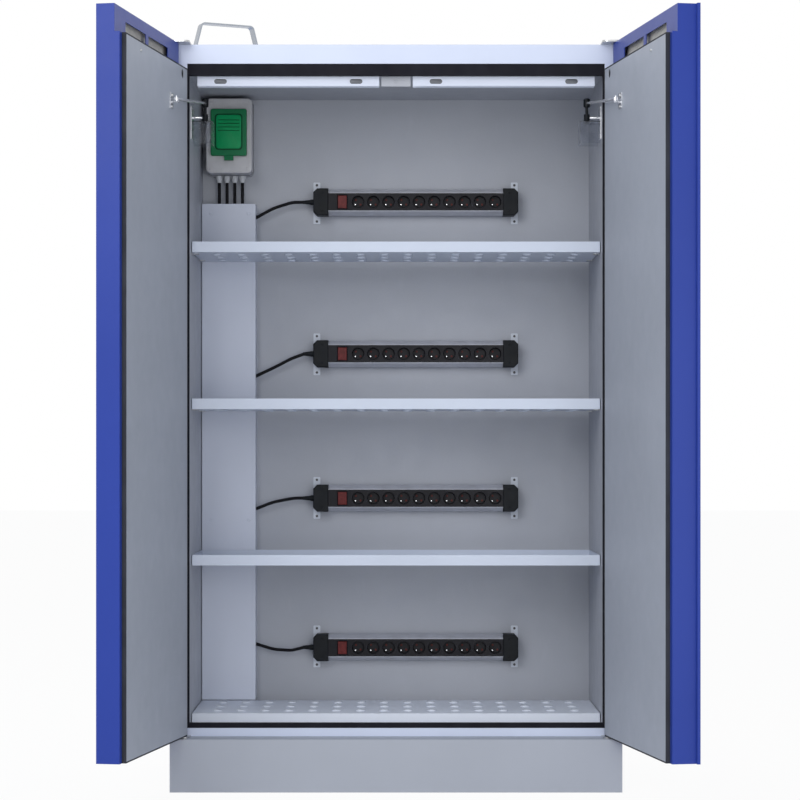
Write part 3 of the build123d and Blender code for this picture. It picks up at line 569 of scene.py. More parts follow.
class RowTree(PatternTree):
    """Repeats one stamp along a straight row from the base's origin."""

    def __init__(self) -> None:
        """Build the tree: a line of points with an instance on each."""
        super().__init__("stamp_row")
        self.socket("Stamp", "NodeSocketObject")
        self.socket("Count", "NodeSocketInt")
        self.socket("Start", "NodeSocketVector")
        self.socket("Pitch", "NodeSocketVector")
        self.socket("Finish", "NodeSocketMaterial")
        entry = self.node("NodeGroupInput")
        line = self.node("GeometryNodeMeshLine")
        line.mode = "OFFSET"
        stamp = self.node("GeometryNodeObjectInfo")
        spread = self.node("GeometryNodeInstanceOnPoints")
        self.link(entry.outputs["Count"], line.inputs["Count"])
        self.link(entry.outputs["Start"], line.inputs["Start Location"])
        self.link(entry.outputs["Pitch"], line.inputs["Offset"])
        self.link(entry.outputs["Stamp"], stamp.inputs["Object"])
        self.link(line.outputs["Mesh"], spread.inputs["Points"])
        self.link(stamp.outputs["Geometry"], spread.inputs["Instance"])
        self.close(spread.outputs["Instances"], entry)


class BeadTree(PatternTree):
    """Runs a round bead along the edges of the base mesh."""

    def __init__(self) -> None:
        """Build the tree: edges to a curve, then a tube along it."""
        super().__init__("bead_run")
        self.socket("Radius", "NodeSocketFloat")
        self.socket("Finish", "NodeSocketMaterial")
        entry = self.node("NodeGroupInput")
        run = self.node("GeometryNodeMeshToCurve")
        circle = self.node("GeometryNodeCurvePrimitiveCircle")
        circle.inputs["Resolution"].default_value = 10
        tube = self.node("GeometryNodeCurveToMesh")
        tube.inputs["Fill Caps"].default_value = True
        self.link(entry.outputs["Geometry"], run.inputs["Mesh"])
        self.link(entry.outputs["Radius"], circle.inputs["Radius"])
        self.link(run.outputs["Curve"], tube.inputs["Curve"])
        self.link(circle.outputs["Curve"], tube.inputs["Profile Curve"])
        self.close(tube.outputs["Mesh"], entry)


# ---- Mesh helpers ---------------------------------------------------------------------------
def mesh_of(form: bmesh.types.BMesh, name: str, smooth: float = 30.0) -> Mesh:
    """Turn a working mesh into a finished one with outward faces.

    Args:
        form: The working mesh, freed here.
        name: Name of the new mesh.
        smooth: Angle in degrees below which faces meet smoothly.

    Returns:
        The finished mesh.
    """
    bmesh.ops.remove_doubles(form, verts=form.verts, dist=1e-6)
    bmesh.ops.recalc_face_normals(form, faces=form.faces)
    for face in form.faces:
        face.smooth = True
    for edge in form.edges:
        if len(edge.link_faces) == 2 and edge.calc_face_angle(0.0) > math.radians(smooth):
            edge.smooth = False
    mesh = bpy.data.meshes.new(name)
    form.to_mesh(mesh)
    form.free()
    return mesh


def turned(name: str, profile: list[Pair], turn: Matrix | None = None, steps: int = 32) -> Mesh:
    """A shape turned about Z from a profile that starts and ends on the axis.

    Args:
        name: Name of the mesh.
        profile: Radius and height of each point.
        turn: How the finished shape is turned and moved.
        steps: Faces round the axis.

    Returns:
        The turned mesh.
    """
    form = bmesh.new()
    rings = []
    for radius, height in profile:
        if radius < 1e-7:
            rings.append([form.verts.new((0, 0, height))])
            continue
        angles = (2 * math.pi * step / steps for step in range(steps))
        rings.append([form.verts.new((radius * math.cos(a), radius * math.sin(a), height))
                      for a in angles])
    for low, high in zip(rings, rings[1:]):
        for step in range(steps):
            after = (step + 1) % steps
            corners = [low[step % len(low)], low[after % len(low)],
                       high[after % len(high)], high[step % len(high)]]
            form.faces.new(list(dict.fromkeys(corners)))
    if turn:
        bmesh.ops.transform(form, matrix=turn, verts=form.verts)
    return mesh_of(form, name)


def ring(name: str, profile: list[Pair], steps: int) -> Mesh:
    """A ring turned about Z from a closed profile that keeps off the axis.

    Args:
        name: Name of the mesh.
        profile: Radius and height of each corner, in order.
        steps: Faces round the axis.

    Returns:
        The ring's mesh.
    """
    form = bmesh.new()
    angles = [2 * math.pi * step / steps for step in range(steps)]
    loops = [[form.verts.new((radius * math.cos(a), radius * math.sin(a), height)) for a in angles]
             for radius, height in profile]
    for before, after in zip(loops, loops[1:] + loops[:1]):
        for step in range(steps):
            beside = (step + 1) % steps
            form.faces.new((before[step], before[beside], after[beside], after[step]))
    return mesh_of(form, name)


def rounded_outline(width: float, height: float, radius: float, steps: int = 6) -> list[Pair]:
    """Outline of a rectangle with rounded corners, about its middle.

    Args:
        width: Across.
        height: Up.
        radius: Of the corners.
        steps: Segments in each corner.

    Returns:
        The outline's points, anticlockwise.
    """
    points = []
    corners = ((1, 1, 0), (-1, 1, 90), (-1, -1, 180), (1, -1, 270))
    for sign_x, sign_y, start in corners:
        middle = (sign_x * (width / 2 - radius), sign_y * (height / 2 - radius))
        for step in range(steps + 1):
            angle = math.radians(start + 90 * step / steps)
            points.append((middle[0] + radius * math.cos(angle),
                           middle[1] + radius * math.sin(angle)))
    return points


def pad(name: str, size: Point, radius: float, ease: float, place: Matrix) -> Mesh:
    """A plate with rounded corners and eased front edge, facing -Y before it is placed.

    Args:
        name: Name of the mesh.
        size: Width, height and thickness.
        radius: Of the corners.
        ease: Radius of the front edge.
        place: Where its back's middle goes.

    Returns:
        The plate's mesh.
    """
    width, height, thick = size
    form = bmesh.new()
    layers = [(0.0, 0.0), (thick - ease, 0.0), (thick - ease * 0.3, ease * 0.3), (thick, ease)]
    rings = []
    for depth, inset in layers:
        outline = rounded_outline(width - 2 * inset, height - 2 * inset, max(radius - inset, 1e-4))
        rings.append([form.verts.new((x, -depth, z)) for x, z in outline])
    for low, high in zip(rings, rings[1:]):
        for index in range(len(low)):
            after = (index + 1) % len(low)
            form.faces.new((low[index], low[after], high[after], high[index]))
    form.faces.new(rings[0])
    form.faces.new(rings[-1])
    bmesh.ops.transform(form, matrix=place, verts=form.verts)
    return mesh_of(form, name, 40.0)


def at(x: float, y: float, z: float) -> Matrix:
    """A move, given in metres from the body's front plane along Y."""
    return Matrix.Translation((x, y + BODY_FRONT, z))


def spots(name: str, points: list[Point]) -> Thing:
    """A base of loose points for a pattern to be placed on.

    Args:
        name: Name of the base.
        points: Where the stamps go.

    Returns:
        The base object.
    """
    mesh = bpy.data.meshes.new(name)
    mesh.from_pydata([tuple(at(*point).translation) for point in points], [], [])
    return linked(name, mesh)


def linked(name: str, mesh: Mesh) -> Thing:
    """Put a mesh in the scene at the origin, unturned.

    Args:
        name: Name of the object.
        mesh: Its mesh.

    Returns:
        The object.
    """
    thing = bpy.data.objects.new(name, mesh)
    bpy.context.collection.objects.link(thing)
    return thing


def dress(thing: Thing, finish: bpy.types.Material, body: Body) -> Thing:
    """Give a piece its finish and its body.

    Args:
        thing: The piece.
        finish: Its material.
        body: The body that it rides on.

    Returns:
        The same piece.
    """
    thing.data.materials.clear()
    thing.data.materials.append(finish)
    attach(thing, body.value)
    return thing


@dataclass
class Workshop:
    """Finishes and pattern trees that every sub-assembly draws on."""

    finishes: dict[str, bpy.types.Material] = field(default_factory=dict)
    trees: dict[str, PatternTree] = field(default_factory=dict)

    def open(self) -> None:
        """Build every finish and every tree."""
        for finish in FINISHES:
            self.finishes[finish.name] = finish.make()
        self.trees = {"placed": PlacedTree(), "row": RowTree(), "bead": BeadTree()}

    def stamped(self, name: str, stamp: Mesh, points: list[Point], finish: str, body: Body) -> Thing:
        """Make one piece from a stamp repeated at given places.

        Args:
            name: Name of the piece.
            stamp: The shape to repeat, about the origin.
            points: Where it goes, from the body's front plane.
            finish: Name of the finish.
            body: The body that it rides on.

        Returns:
            The piece.
        """
        model = linked(name + "_stamp", stamp)
        mesh = self.trees["placed"].bake(spots(name + "_points", points), Stamp=model,
                                         Finish=self.finishes[finish])
        bpy.data.objects.remove(model)
        return dress(linked(name, mesh), self.finishes[finish], body)

    def row(self, name: str, stamp: Mesh, count: int, start: Point, pitch: Point, finish: str,
            body: Body, slot: str) -> Thing:
        """Make one piece from a stamp repeated along a row.

        Args:
            name: Name of the piece.
            stamp: The shape to repeat, about the origin.
            count: How many.
            start: Place of the first, from the body's front plane.
            pitch: Step from one to the next.
            finish: Name of the finish.
            body: The body that it rides on.
            slot: Not used.

        Returns:
            The piece.
        """
        model = linked(name + "_stamp", stamp)
        base = linked(name + "_base", bpy.data.meshes.new(name + "_base"))
        first = tuple(at(*start).translation)
        mesh = self.trees["row"].bake(base, Stamp=model, Count=count, Start=first, Pitch=pitch,
                                      Finish=self.finishes[finish])
        bpy.data.objects.remove(model)
        return dress(linked(name, mesh), self.finishes[finish], body)

    def bead(self, name: str, loops: list[list[Point]], radius: float, finish: str, body: Body,
             slot: str) -> Thing:
        """Make one piece from a bead that runs along closed lines.

        Args:
            name: Name of the piece.
            loops: Points of each line, in the frame's own coordinates.
            radius: Of the bead.
            finish: Name of the finish.
            body: The body that it rides on.
            slot: Not used.

        Returns:
            The piece.
        """
        verts: list[Point] = []
        edges: list[tuple[int, int]] = []
        for loop in loops:
            first = len(verts)
            verts += loop
            edges += [(first + n, first + n + 1) for n in range(len(loop) - 1)]
            edges.append((len(verts) - 1, first))
        mesh = bpy.data.meshes.new(name + "_line")
        mesh.from_pydata(verts, edges, [])
        made = self.trees["bead"].bake(linked(name + "_line", mesh), Radius=radius,
                                       Finish=self.finishes[finish])
        return dress(linked(name, made), self.finishes[finish], body)


# ---- Finishes of this cabinet ---------------------------------------------------------------
FINISHES: tuple[Finish, ...] = (
    PowderCoat("casing_paint", (0.640, 0.700, 0.860), 0.36),
    # The plinth's paint is the casing's grey paint made darker: painted shade on the plinth.
    PowderCoat("plinth_paint", (0.370, 0.395, 0.455), 0.42),
    PowderCoat("door_paint", (0.021, 0.048, 0.298), 0.34, rub=0.35, gloss=0.22),
    PowderCoat("shelf_paint", (0.570, 0.625, 0.740), 0.40),
    # The tray's paint is the shelves' paint made lighter: painted light on the bottom tray.
    PowderCoat("tray_paint", (0.760, 0.805, 0.900), 0.40),
    PowderCoat("duct_paint", (0.630, 0.670, 0.780), 0.40),
    PowderCoat("rail_paint", (0.680, 0.730, 0.860), 0.36),
    PowderCoat("bracket_paint", (0.640, 0.680, 0.760), 0.38),
    Laminate("door_laminate", (0.365, 0.395, 0.460)),
    # The linings' laminate is the door panels' laminate made lighter: painted light inside the
    # cabinet.
    Laminate("lining_laminate", (0.410, 0.430, 0.482)),
    MineralBoard("fire_board", (0.640, 0.620, 0.570)),
    Rubber("seal_rubber", (0.009, 0.009, 0.014)),
    Rubber("door_seal_rubber", (0.032, 0.034, 0.042)),
    Rubber("cable_sheath", (0.008, 0.008, 0.010), (0.05, 1.0, 1.0)),
    BareMetal("polished_steel", (0.84, 0.85, 0.88), 0.12, metal=0.8),
    BareMetal("zinc_plate", (0.56, 0.57, 0.58), 0.30, (1.0, 1.0, 0.3)),
    BareMetal("anodised_profile", (0.62, 0.63, 0.68), 0.42, (0.03, 1.0, 1.0), 0.00001, metal=0.3),
    BareMetal("chromed_bar", (0.40, 0.43, 0.48), 0.20, metal=0.9),
    # Near-black finish of the pads in the rail slots: painted shade inside the slots.
    BareMetal("slide_steel", (0.115, 0.122, 0.140), 0.40, metal=0.3),
    BareMetal("dark_zinc", (0.10, 0.10, 0.11), 0.38, metal=0.6),
    Moulded("black_plastic", (0.009, 0.011, 0.014), 0.42, gloss=0.12),
    Moulded("insert_plastic", (0.010, 0.010, 0.014), 0.36, gloss=0.14),
    Moulded("box_plastic", (0.500, 0.500, 0.525), 0.40),
    Moulded("gland_plastic", (0.640, 0.660, 0.690), 0.42),
    Moulded("breaker_plastic", (0.660, 0.660, 0.640), 0.34),
    Moulded("toggle_plastic", (0.020, 0.020, 0.024), 0.28, sheen_over=0.3),
    Moulded("shutter_plastic", (0.090, 0.014, 0.012), 0.38, gloss=0.15),
    ClearPlastic("guard_plastic", (0.86, 0.88, 0.92), 0.98, 0.03, 1.06, 0.3),
    ClearPlastic("flap_plastic", (0.010, 0.185, 0.072), 0.05, 0.34, gloss=0.15),
    # Dark green of the plate round the flap's pad and of the ribs: painted shade of the gap and of
    # the grooves.
    ClearPlastic("flap_step_plastic", (0.004, 0.060, 0.026), 0.03, 0.40, gloss=0.10),
    ClearPlastic("flap_pad_plastic", (0.004, 0.330, 0.110), 0.04, 0.36, gloss=0.18),
    LitPlastic("rocker_lens", (0.150, 0.022, 0.022), 0.10),
)

NODE_FINISHES: dict[str, tuple[str, ...]] = {
    "casing_paint": ("casing_wrap", "casing_back", "casing_floor"),
    "plinth_paint": ("plinth_frame", "plinth_panel"),
    "door_paint": ("left_door_shell", "right_door_shell"),
    "shelf_paint": ("shelves",),
    "tray_paint": ("bottom_tray",),
    "duct_paint": ("cable_duct",),
    "rail_paint": ("closer_rails",),
    "bracket_paint": ("strip_brackets",),
    "door_laminate": ("left_door_panel", "right_door_panel"),
    "lining_laminate": ("side_linings", "floor_and_ceiling_linings", "back_lining", "bolt_keeper"),
    "fire_board": ("fire_boards", "left_door_board", "right_door_board"),
    "seal_rubber": ("opening_seal",),
    "door_seal_rubber": ("left_door_seal", "right_door_seal"),
    "cable_sheath": ("feeder_cables", *(f"strip_lead_{n}" for n in range(1, 5))),
    "polished_steel": ("left_door_bracket", "right_door_bracket", "left_stay_rod", "right_stay_rod",
                       "stay_wall_feet"),
    "chromed_bar": ("roof_bow",),
    "zinc_plate": ("pivot_plates", "shelf_supports"),
    "anodised_profile": ("strip_profiles",),
    "black_plastic": ("levelling_feet", "handle_plate", "door_handle", "left_stay_elbow",
                      "right_stay_elbow", "stay_dampers", "strip_caps"),
    "insert_plastic": ("strip_inserts",),
    "box_plastic": ("box_base", "box_cover"),
    "gland_plastic": ("cable_glands",),
    "breaker_plastic": ("breakers",),
    "toggle_plastic": tuple(f"breaker_toggle_{n}" for n in range(1, 5)),
    "guard_plastic": ("stay_guards",),
    "flap_plastic": ("box_flap",),
    "rocker_lens": tuple(f"strip_rocker_{n}" for n in range(1, 5)),
}

FACING_FRONT = Matrix.Rotation(math.radians(90), 4, "X")


def screw_head(name: str, radius: float, rise: float) -> Mesh:
    """Domed screw head with a cross recess suggested by a cupped middle, facing -Y.

    Args:
        name: Name of the mesh.
        radius: Of the head.
        rise: Height of the dome.

    Returns:
        The head's mesh.
    """
    profile = [(0, 0), (radius, 0), (radius * 0.96, rise * 0.45), (radius * 0.72, rise * 0.88),
               (radius * 0.42, rise), (radius * 0.34, rise * 0.45), (0, rise * 0.35)]
    return turned(name, profile, FACING_FRONT, 20)


# ---- Sub-assemblies -------------------------------------------------------------------------
@dataclass
class SocketStrips:
    """Four socket strips: cups, earth pins, shutters, bezels, screws and leads."""

    levels: tuple[float, ...] = (1.6115, 1.1785, 0.7665, 0.3405)
    first_socket: float = -0.108
    pitch: float = 0.0434
    sockets: int = 10
    front: float = 0.442
    cup_radius: float = 0.0174
    cup_depth: float = 0.0162
    cup_wall: float = 0.0010
    pin_offset: float = 0.0078
    hole_offset: float = 0.0067
    rocker_x: float = -0.153
    rocker_size: Pair = (0.0286, 0.0396)
    bezel_margin: float = 0.0006
    bezel_corner: float = 0.003
    bezel_radius: float = 0.0011
    left: float = -0.236
    right: float = 0.3485
    bracket_inset: float = 0.009
    screw_reach: float = 0.052
    wall_depth: float = 0.046
    cap_inset: float = 0.026
    cap_screw_reach: float = 0.026
    cap_proud: float = 0.002
    sleeve_ribs: int = 6
    sleeve_length: float = 0.0228
    sleeve_radius: float = 0.0074
    sleeve_taper: float = 0.00042
    sleeve_groove: float = 0.0012
    sleeve_pitch: float = 0.0038
    sleeve_overlap: float = 0.001
    lead_depth: float = 0.458
    lead_radius: float = 0.0045
    lead_start: float = -0.244
    lead_lengths: tuple[float, ...] = (0.181, 0.1853, 0.1755, 0.1736)
    routes: tuple[tuple[Pair, ...], ...] = (
        ((0, 0), (-0.052, 0), (-0.106, -0.017), (-0.170, -0.052)),
        ((0, 0), (-0.018, 0), (-0.056, -0.014), (-0.106, -0.040), (-0.170, -0.070)),
        ((0, 0), (-0.048, 0), (-0.106, -0.011), (-0.170, -0.036)),
        ((0, 0), (-0.018, 0), (-0.054, -0.009), (-0.104, -0.006), (-0.170, 0.014)),
    )

    def cup(self) -> Mesh:
        """Socket cup: a rim ring proud of the insert, a wall and a floor.

        Returns:
            The cup's mesh about the well's mouth, facing -Y.
        """
        radius, depth, wall = self.cup_radius, self.cup_depth, self.cup_wall
        profile = [(0, -depth), (radius, -depth), (radius, 0.0002), (radius - wall * 0.4, 0.0008),
                   (radius - wall, 0.0004), (radius - wall, -depth + 0.0022),
                   (radius - wall * 1.8, -depth + 0.0012), (0, -depth + 0.0012)]
        return turned("socket_cup", profile, FACING_FRONT, 36)

    @staticmethod
    def pin() -> Mesh:
        """Earth pin with a rounded tip."""
        profile = [(0, -0.001), (0.0024, -0.001), (0.0024, 0.0102), (0.0018, 0.0118), (0, 0.0124)]
        return turned("earth_pin", profile, FACING_FRONT, 18)

    @staticmethod
    def shutter() -> Mesh:
        """Round shutter that closes a contact hole."""
        profile = [(0, -0.0006), (0.0032, -0.0006), (0.0032, 0.0005), (0.0026, 0.0007), (0, 0.0003)]
        return turned("shutter", profile, FACING_FRONT, 20)

    def build(self, shop: Workshop) -> None:
        """Make the strips' own pieces.

        Args:
            shop: Finishes and trees.
        """
        floor = self.front + self.cup_depth - 0.0012
        lift, aside = self.hole_offset, -self.pin_offset
        for kind, stamp, dx, dz, y, finish, slot in (
            ("cups", self.cup, 0.0, 0.0, self.front, "insert_plastic", "black_plastic"),
            ("pins", self.pin, aside, aside, floor, "polished_steel", "plated_steel"),
            ("shutters_up", self.shutter, -lift, lift, floor, "shutter_plastic", "rocker_red"),
            ("shutters_down", self.shutter, lift, -lift, floor, "shutter_plastic", "rocker_red"),
        ):
            for number, level in enumerate(self.levels, 1):
                start = (self.first_socket + dx, y, level + dz)
                shop.row(f"socket_{kind}_{number}", stamp(), self.sockets, start,
                         (self.pitch, 0, 0), finish, Body.CABINET, slot)
        self.bezels(shop)
        self.screws(shop)
        self.strain_reliefs(shop)
        self.leads(shop)

    def bezels(self, shop: Workshop) -> None:
        """Raised frame round each rocker.

        Args:
            shop: Finishes and trees.
        """
        width, height = (size + self.bezel_margin for size in self.rocker_size)
        loops = []
        for level in self.levels:
            outline = rounded_outline(width, height, self.bezel_corner)
            loops.append([tuple(at(self.rocker_x + x, self.front, level + z).translation)
                          for x, z in outline])
        shop.bead("rocker_bezels", loops, self.bezel_radius, "insert_plastic", Body.CABINET,
                  "black_plastic")

    def screws(self, shop: Workshop) -> None:
        """Bracket screws above and below each end, and the caps' own screws.

        Args:
            shop: Finishes and trees.
        """
        walls = [(x, self.front + self.wall_depth, level + dz) for level in self.levels
                 for x in (self.left + self.bracket_inset, self.right - self.bracket_inset)
                 for dz in (-self.screw_reach, self.screw_reach)]
        shop.stamped("bracket_screws", screw_head("bracket_screw", 0.0036, 0.0012), walls,
                     "dark_zinc", Body.CABINET)
        caps = [(x, self.front - self.cap_proud, level + dz) for level in self.levels
                for x in (self.left + self.cap_inset, self.right - self.cap_inset)
                for dz in (-self.cap_screw_reach, self.cap_screw_reach)]
        shop.stamped("cap_screws", screw_head("cap_screw", 0.0030, 0.0008), caps,
                     "black_plastic", Body.CABINET)

    def strain_reliefs(self, shop: Workshop) -> None:
        """Ribbed tapered sleeve where each lead leaves its strip.

        Args:
            shop: Finishes and trees.
        """
        profile = [(0.0, 0.0)]
        for rib in range(self.sleeve_ribs):
            outer = self.sleeve_radius - rib * self.sleeve_taper
            neck = outer - self.sleeve_groove
            z = rib * self.sleeve_pitch
            profile += [(outer, z), (outer, z + 0.0024), (neck, z + 0.0027), (neck, z + 0.0036)]
        profile += [(0.0048, self.sleeve_length), (0.0, self.sleeve_length)]
        places = [(self.lead_start + self.sleeve_overlap, self.lead_depth, level)
                  for level in self.levels]
        stamp = turned("strain_relief", profile, Matrix.Rotation(math.radians(-90), 4, "Y"), 24)
        shop.stamped("lead_strain_reliefs", stamp, places, "black_plastic", Body.CABINET)

    def leads(self, shop: Workshop) -> None:
        """The four leads as real cords that go back into the duct.

        Args:
            shop: Finishes and trees.
        """
        runs = zip(self.levels, self.routes, self.lead_lengths)
        for number, (level, route, length) in enumerate(runs, 1):
            points = [tuple(at(self.lead_start + dx, self.lead_depth, level + dz).translation)
                      for dx, dz in route]
            points = self.eased(points)
            curve = bpy.data.curves.new(f"lead_{number}", "CURVE")
            curve.dimensions = "3D"
            curve.bevel_depth = self.lead_radius
            curve.bevel_resolution = 5
            curve.resolution_u = 12
            curve.use_fill_caps = True
            spline = curve.splines.new("NURBS")
            spline.points.add(len(points) - 1)
            for target, point in zip(spline.points, points):
                target.co = (*point, 1.0)
            spline.order_u = 3
            spline.use_endpoint_u = True
            lead = bpy.data.objects.new(f"lead_{number}", curve)
            bpy.context.collection.objects.link(lead)
            dress(lead, shop.finishes["cable_sheath"], Body.CABINET)
            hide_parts(f"strip_lead_{number}")

    @staticmethod
    def eased(points: list[Point]) -> list[Point]:
        """Extra control points on the straight runs, so that the curve keeps close to its route.

        Args:
            points: The route's corners.

        Returns:
            The corners with the middle of each run between them.
        """
        filled = [points[0]]
        for before, after in zip(points, points[1:]):
            middle = Vector(before).lerp(Vector(after), 0.5)
            filled += [tuple(middle), after]
        return filled


@dataclass
class DistributionBox:
    """Small enclosure with a green flap: raised pad, ribs, seam and cover plugs; the dark plate
    round the pad and the dark ribs are painted shade.
    """

    middle_x: float = -0.472
    front: float = 0.385
    low: float = 1.6865
    high: float = 1.8985
    width: float = 0.130
    flap_front: float = 0.3686
    flap_middle_z: float = 1.8005
    pad_size: Point = (0.0715, 0.096, 0.0042)
    pad_rise: float = 0.001
    pad_corner: float = 0.009
    pad_ease: float = 0.0028
    pad_seat: float = 0.0008
    step_margin: float = 0.006
    step_thick: float = 0.0014
    step_corner: float = 0.010
    step_ease: float = 0.0006
    step_seat: float = 0.0004
    rib_size: Point = (0.0615, 0.0016, 0.0012)
    rib_pitch: float = -0.0100
    rib_depth: float = 0.0034
    first_rib: float = 0.014
    ribs: int = 4
    seam_depth: float = 0.055
    seam_margin: float = 0.0002
    seam_corner: float = 0.014
    seam_radius: float = 0.0007
    plug_reach: float = 0.052
    plug_above_low: float = 0.013
    plug_below_high: float = 0.012

    def build(self, shop: Workshop) -> None:
        """Make the box's own pieces.

        Args:
            shop: Finishes and trees.
        """
        width, height, _ = self.pad_size
        middle = self.flap_middle_z + self.pad_rise
        step_size = (width + self.step_margin, height + self.step_margin, self.step_thick)
        # The dark plate just larger than the pad paints the shade of the gap round the pad.
        for name, size, corner, ease, seat in (
            ("flap_step", step_size, self.step_corner, self.step_ease, self.step_seat),
            ("flap_pad", self.pad_size, self.pad_corner, self.pad_ease, self.pad_seat),
        ):
            plate = pad(name, size, corner, ease, at(self.middle_x, self.flap_front + seat, middle))
            dress(linked(name, plate), shop.finishes[f"{name}_plastic"], Body.FLAP)
        # The ribs are dark: painted shade of the flap's fine grooves.
        rib = pad("flap_rib", self.rib_size, 0.0007, 0.0006, Matrix.Identity(4))
        top = self.flap_middle_z + height / 2 - self.first_rib
        first = (self.middle_x, self.flap_front - self.rib_depth, top)
        shop.row("flap_ribs", rib, self.ribs, first, (0, 0, self.rib_pitch), "flap_step_plastic",
                 Body.FLAP, "green_clear")
        seam = rounded_outline(self.width + self.seam_margin,
                               self.high - self.low + self.seam_margin, self.seam_corner)
        middle_z = (self.low + self.high) / 2
        depth = self.front + self.seam_depth
        loop = [tuple(at(self.middle_x + x, depth, middle_z + z).translation) for x, z in seam]
        shop.bead("box_seam", [loop], self.seam_radius, "black_plastic", Body.CABINET, "black_seal")
        plugs = [(self.middle_x + dx, self.front, z) for dx in (-self.plug_reach, self.plug_reach)
                 for z in (self.low + self.plug_above_low, self.high - self.plug_below_high)]
        shop.stamped("cover_plugs", screw_head("cover_plug", 0.0042, 0.0012), plugs,
                     "box_plastic", Body.CABINET)


@dataclass
class CloserRails:
    """Near-black pads in the slots of the closer rails: painted shade inside the slots."""

    slot_x: Pair = (0.107, 0.470)
    middle_z: float = 1.891
    depth: float = 0.0228
    size: Point = (0.0336, 0.0126, 0.0010)

    def build(self, shop: Workshop) -> None:
        """Make the near-black pads: painted shade inside the rail slots.

        Args:
            shop: Finishes and trees.
        """
        # Each near-black pad paints the shade inside a rail slot.
        slide = pad("rail_slide", self.size, 0.0062, 0.0003, Matrix.Identity(4))
        places = [(side * x, self.depth, self.middle_z) for side in (-1, 1) for x in self.slot_x]
        shop.stamped("rail_slides", slide, places, "slide_steel", Body.CABINET)


@dataclass
class ShelfHoles:
    """Turned-out rims round the holes of the shelves and of the bottom tray."""

    columns: int = 16
    rows: int = 3
    pitch: Pair = (0.065, 0.105)
    hole: float = 0.011
    rim: float = 0.0016
    proud: float = 0.0024
    rooted: float = 0.0006
    middle_y: float = 0.251
    undersides: tuple[float, ...] = (1.4385, 1.0145, 0.5920)
    tray_top: float = 0.1925

    def build(self, shop: Workshop) -> None:
        """Make the rims: below the shelves and above the tray.

        Args:
            shop: Finishes and trees.
        """
        # The tray's rims take the tray's lightened paint: painted light.
        for name, levels, way, finish in (("shelf_hole_rims", self.undersides, -1.0, "shelf_paint"),
                                          ("tray_hole_rims", (self.tray_top,), 1.0, "tray_paint")):
            places = [((column - (self.columns - 1) / 2) * self.pitch[0],
                       self.middle_y + (row - (self.rows - 1) / 2) * self.pitch[1], level)
                      for level in levels for row in range(self.rows)
                      for column in range(self.columns)]
            shop.stamped(name, self.collar(way), places, finish, Body.CABINET)

    def collar(self, way: float) -> Mesh:
        """One rim, about the hole's mouth.

        Args:
            way: 1 for a rim that stands up, -1 for one that hangs down.

        Returns:
            The rim's mesh.
        """
        inner, outer, proud = self.hole - 0.0002, self.hole + self.rim, self.proud * way
        root = -self.rooted * way
        profile = [(outer, root), (outer, proud * 0.45), (outer - self.rim * 0.35, proud),
                   (inner, proud), (inner, root)]
        return ring("hole_collar", profile, 20)


@dataclass
class CableDuct:
    """Sheet duct beside the shelves: the screws of its cover."""

    front: float = 0.426
    screw_x: Pair = (-0.5262, -0.4189)
    screw_z: Pair = (1.5758, 0.7055)

    def build(self, shop: Workshop) -> None:
        """Make the duct's own pieces.

        Args:
            shop: Finishes and trees.
        """
        places = [(x, self.front, z) for x in self.screw_x for z in self.screw_z]
        shop.stamped("duct_screws", screw_head("duct_screw", 0.0052, 0.0012), places,
                     "duct_paint", Body.CABINET)


@dataclass
class OpeningTrim:
    """Lips of the seal round the opening."""

    half: float = 0.5553
    bottom: float = 0.1685
    top: float = 1.9200
    depths: tuple[float, ...] = (0.0060, 0.0110)
    radius: float = 0.0016

    def build(self, shop: Workshop) -> None:
        """Make the seal's lips.

        Args:
            shop: Finishes and trees.
        """
        loops = []
        for depth in self.depths:
            corners = ((-self.half, self.bottom), (self.half, self.bottom), (self.half, self.top),
                       (-self.half, self.top))
            loops.append([tuple(at(x, depth, z).translation) for x, z in corners])
        shop.bead("seal_lips", loops, self.radius, "seal_rubber", Body.CABINET, "black_seal")


@dataclass
class DoorFurniture:
    """Screws on the doors' inner faces, the stays' bracket screws and the plugs by the hinges."""

    pivot_x: float = 0.587
    pivot_y: float = -0.034
    open_angle: float = 100.0
    panel_back: float = -0.002
    screw_x: float = 0.148
    screw_z: float = 1.893
    bracket_x: float = 0.432
    bracket_z: Pair = (1.7935, 1.8225)
    plug_x: float = 0.5477
    plug_z: float = 1.8962
    plug_seat: float = -0.0046
    plug_radius: float = 0.0117

    def opened(self, side: Side, x: float, y: float, z: float) -> Matrix:
        """Place of something on a shut door, once the door stands open.

        Args:
            side: Left or right door.
            x: Distance from the cabinet's middle.
            y: From the body's front plane.
            z: Height.

        Returns:
            The place as a matrix in the frame's own coordinates.
        """
        pivot = at(side.value * self.pivot_x, self.pivot_y, 0)
        turn = Matrix.Rotation(math.radians(side.value * self.open_angle), 4, "Z")
        shut = Matrix.Translation((side.value * (x - self.pivot_x), y - self.pivot_y, z))
        return pivot @ turn @ shut

    def build(self, shop: Workshop) -> None:
        """Make the doors' own pieces.

        Args:
            shop: Finishes and trees.
        """
        inward = Matrix.Rotation(math.radians(180), 4, "Z")
        for side, body in ((Side.LEFT, Body.LEFT_DOOR), (Side.RIGHT, Body.RIGHT_DOOR)):
            name = side.name.lower()
            form = bmesh.new()
            for x, y, z, radius in ((self.screw_x, self.panel_back, self.screw_z, 0.0040),
                                    *((self.bracket_x, self.panel_back + 0.0025, z, 0.0036)
                                      for z in self.bracket_z)):
                head = screw_head("door_screw", radius, 0.0026)
                head.transform(self.opened(side, x, y, z) @ inward)
                form.from_mesh(head)
            screws = linked(f"{name}_door_screws", mesh_of(form, f"{name}_door_screws"))
            dress(screws, shop.finishes["zinc_plate"], body)
            plug = screw_head(f"{name}_door_plug", self.plug_radius, 0.0012)
            plug.transform(self.opened(side, self.plug_x, self.plug_seat, self.plug_z) @ inward)
            dress(linked(f"{name}_door_plug", plug), shop.finishes["black_plastic"], body)


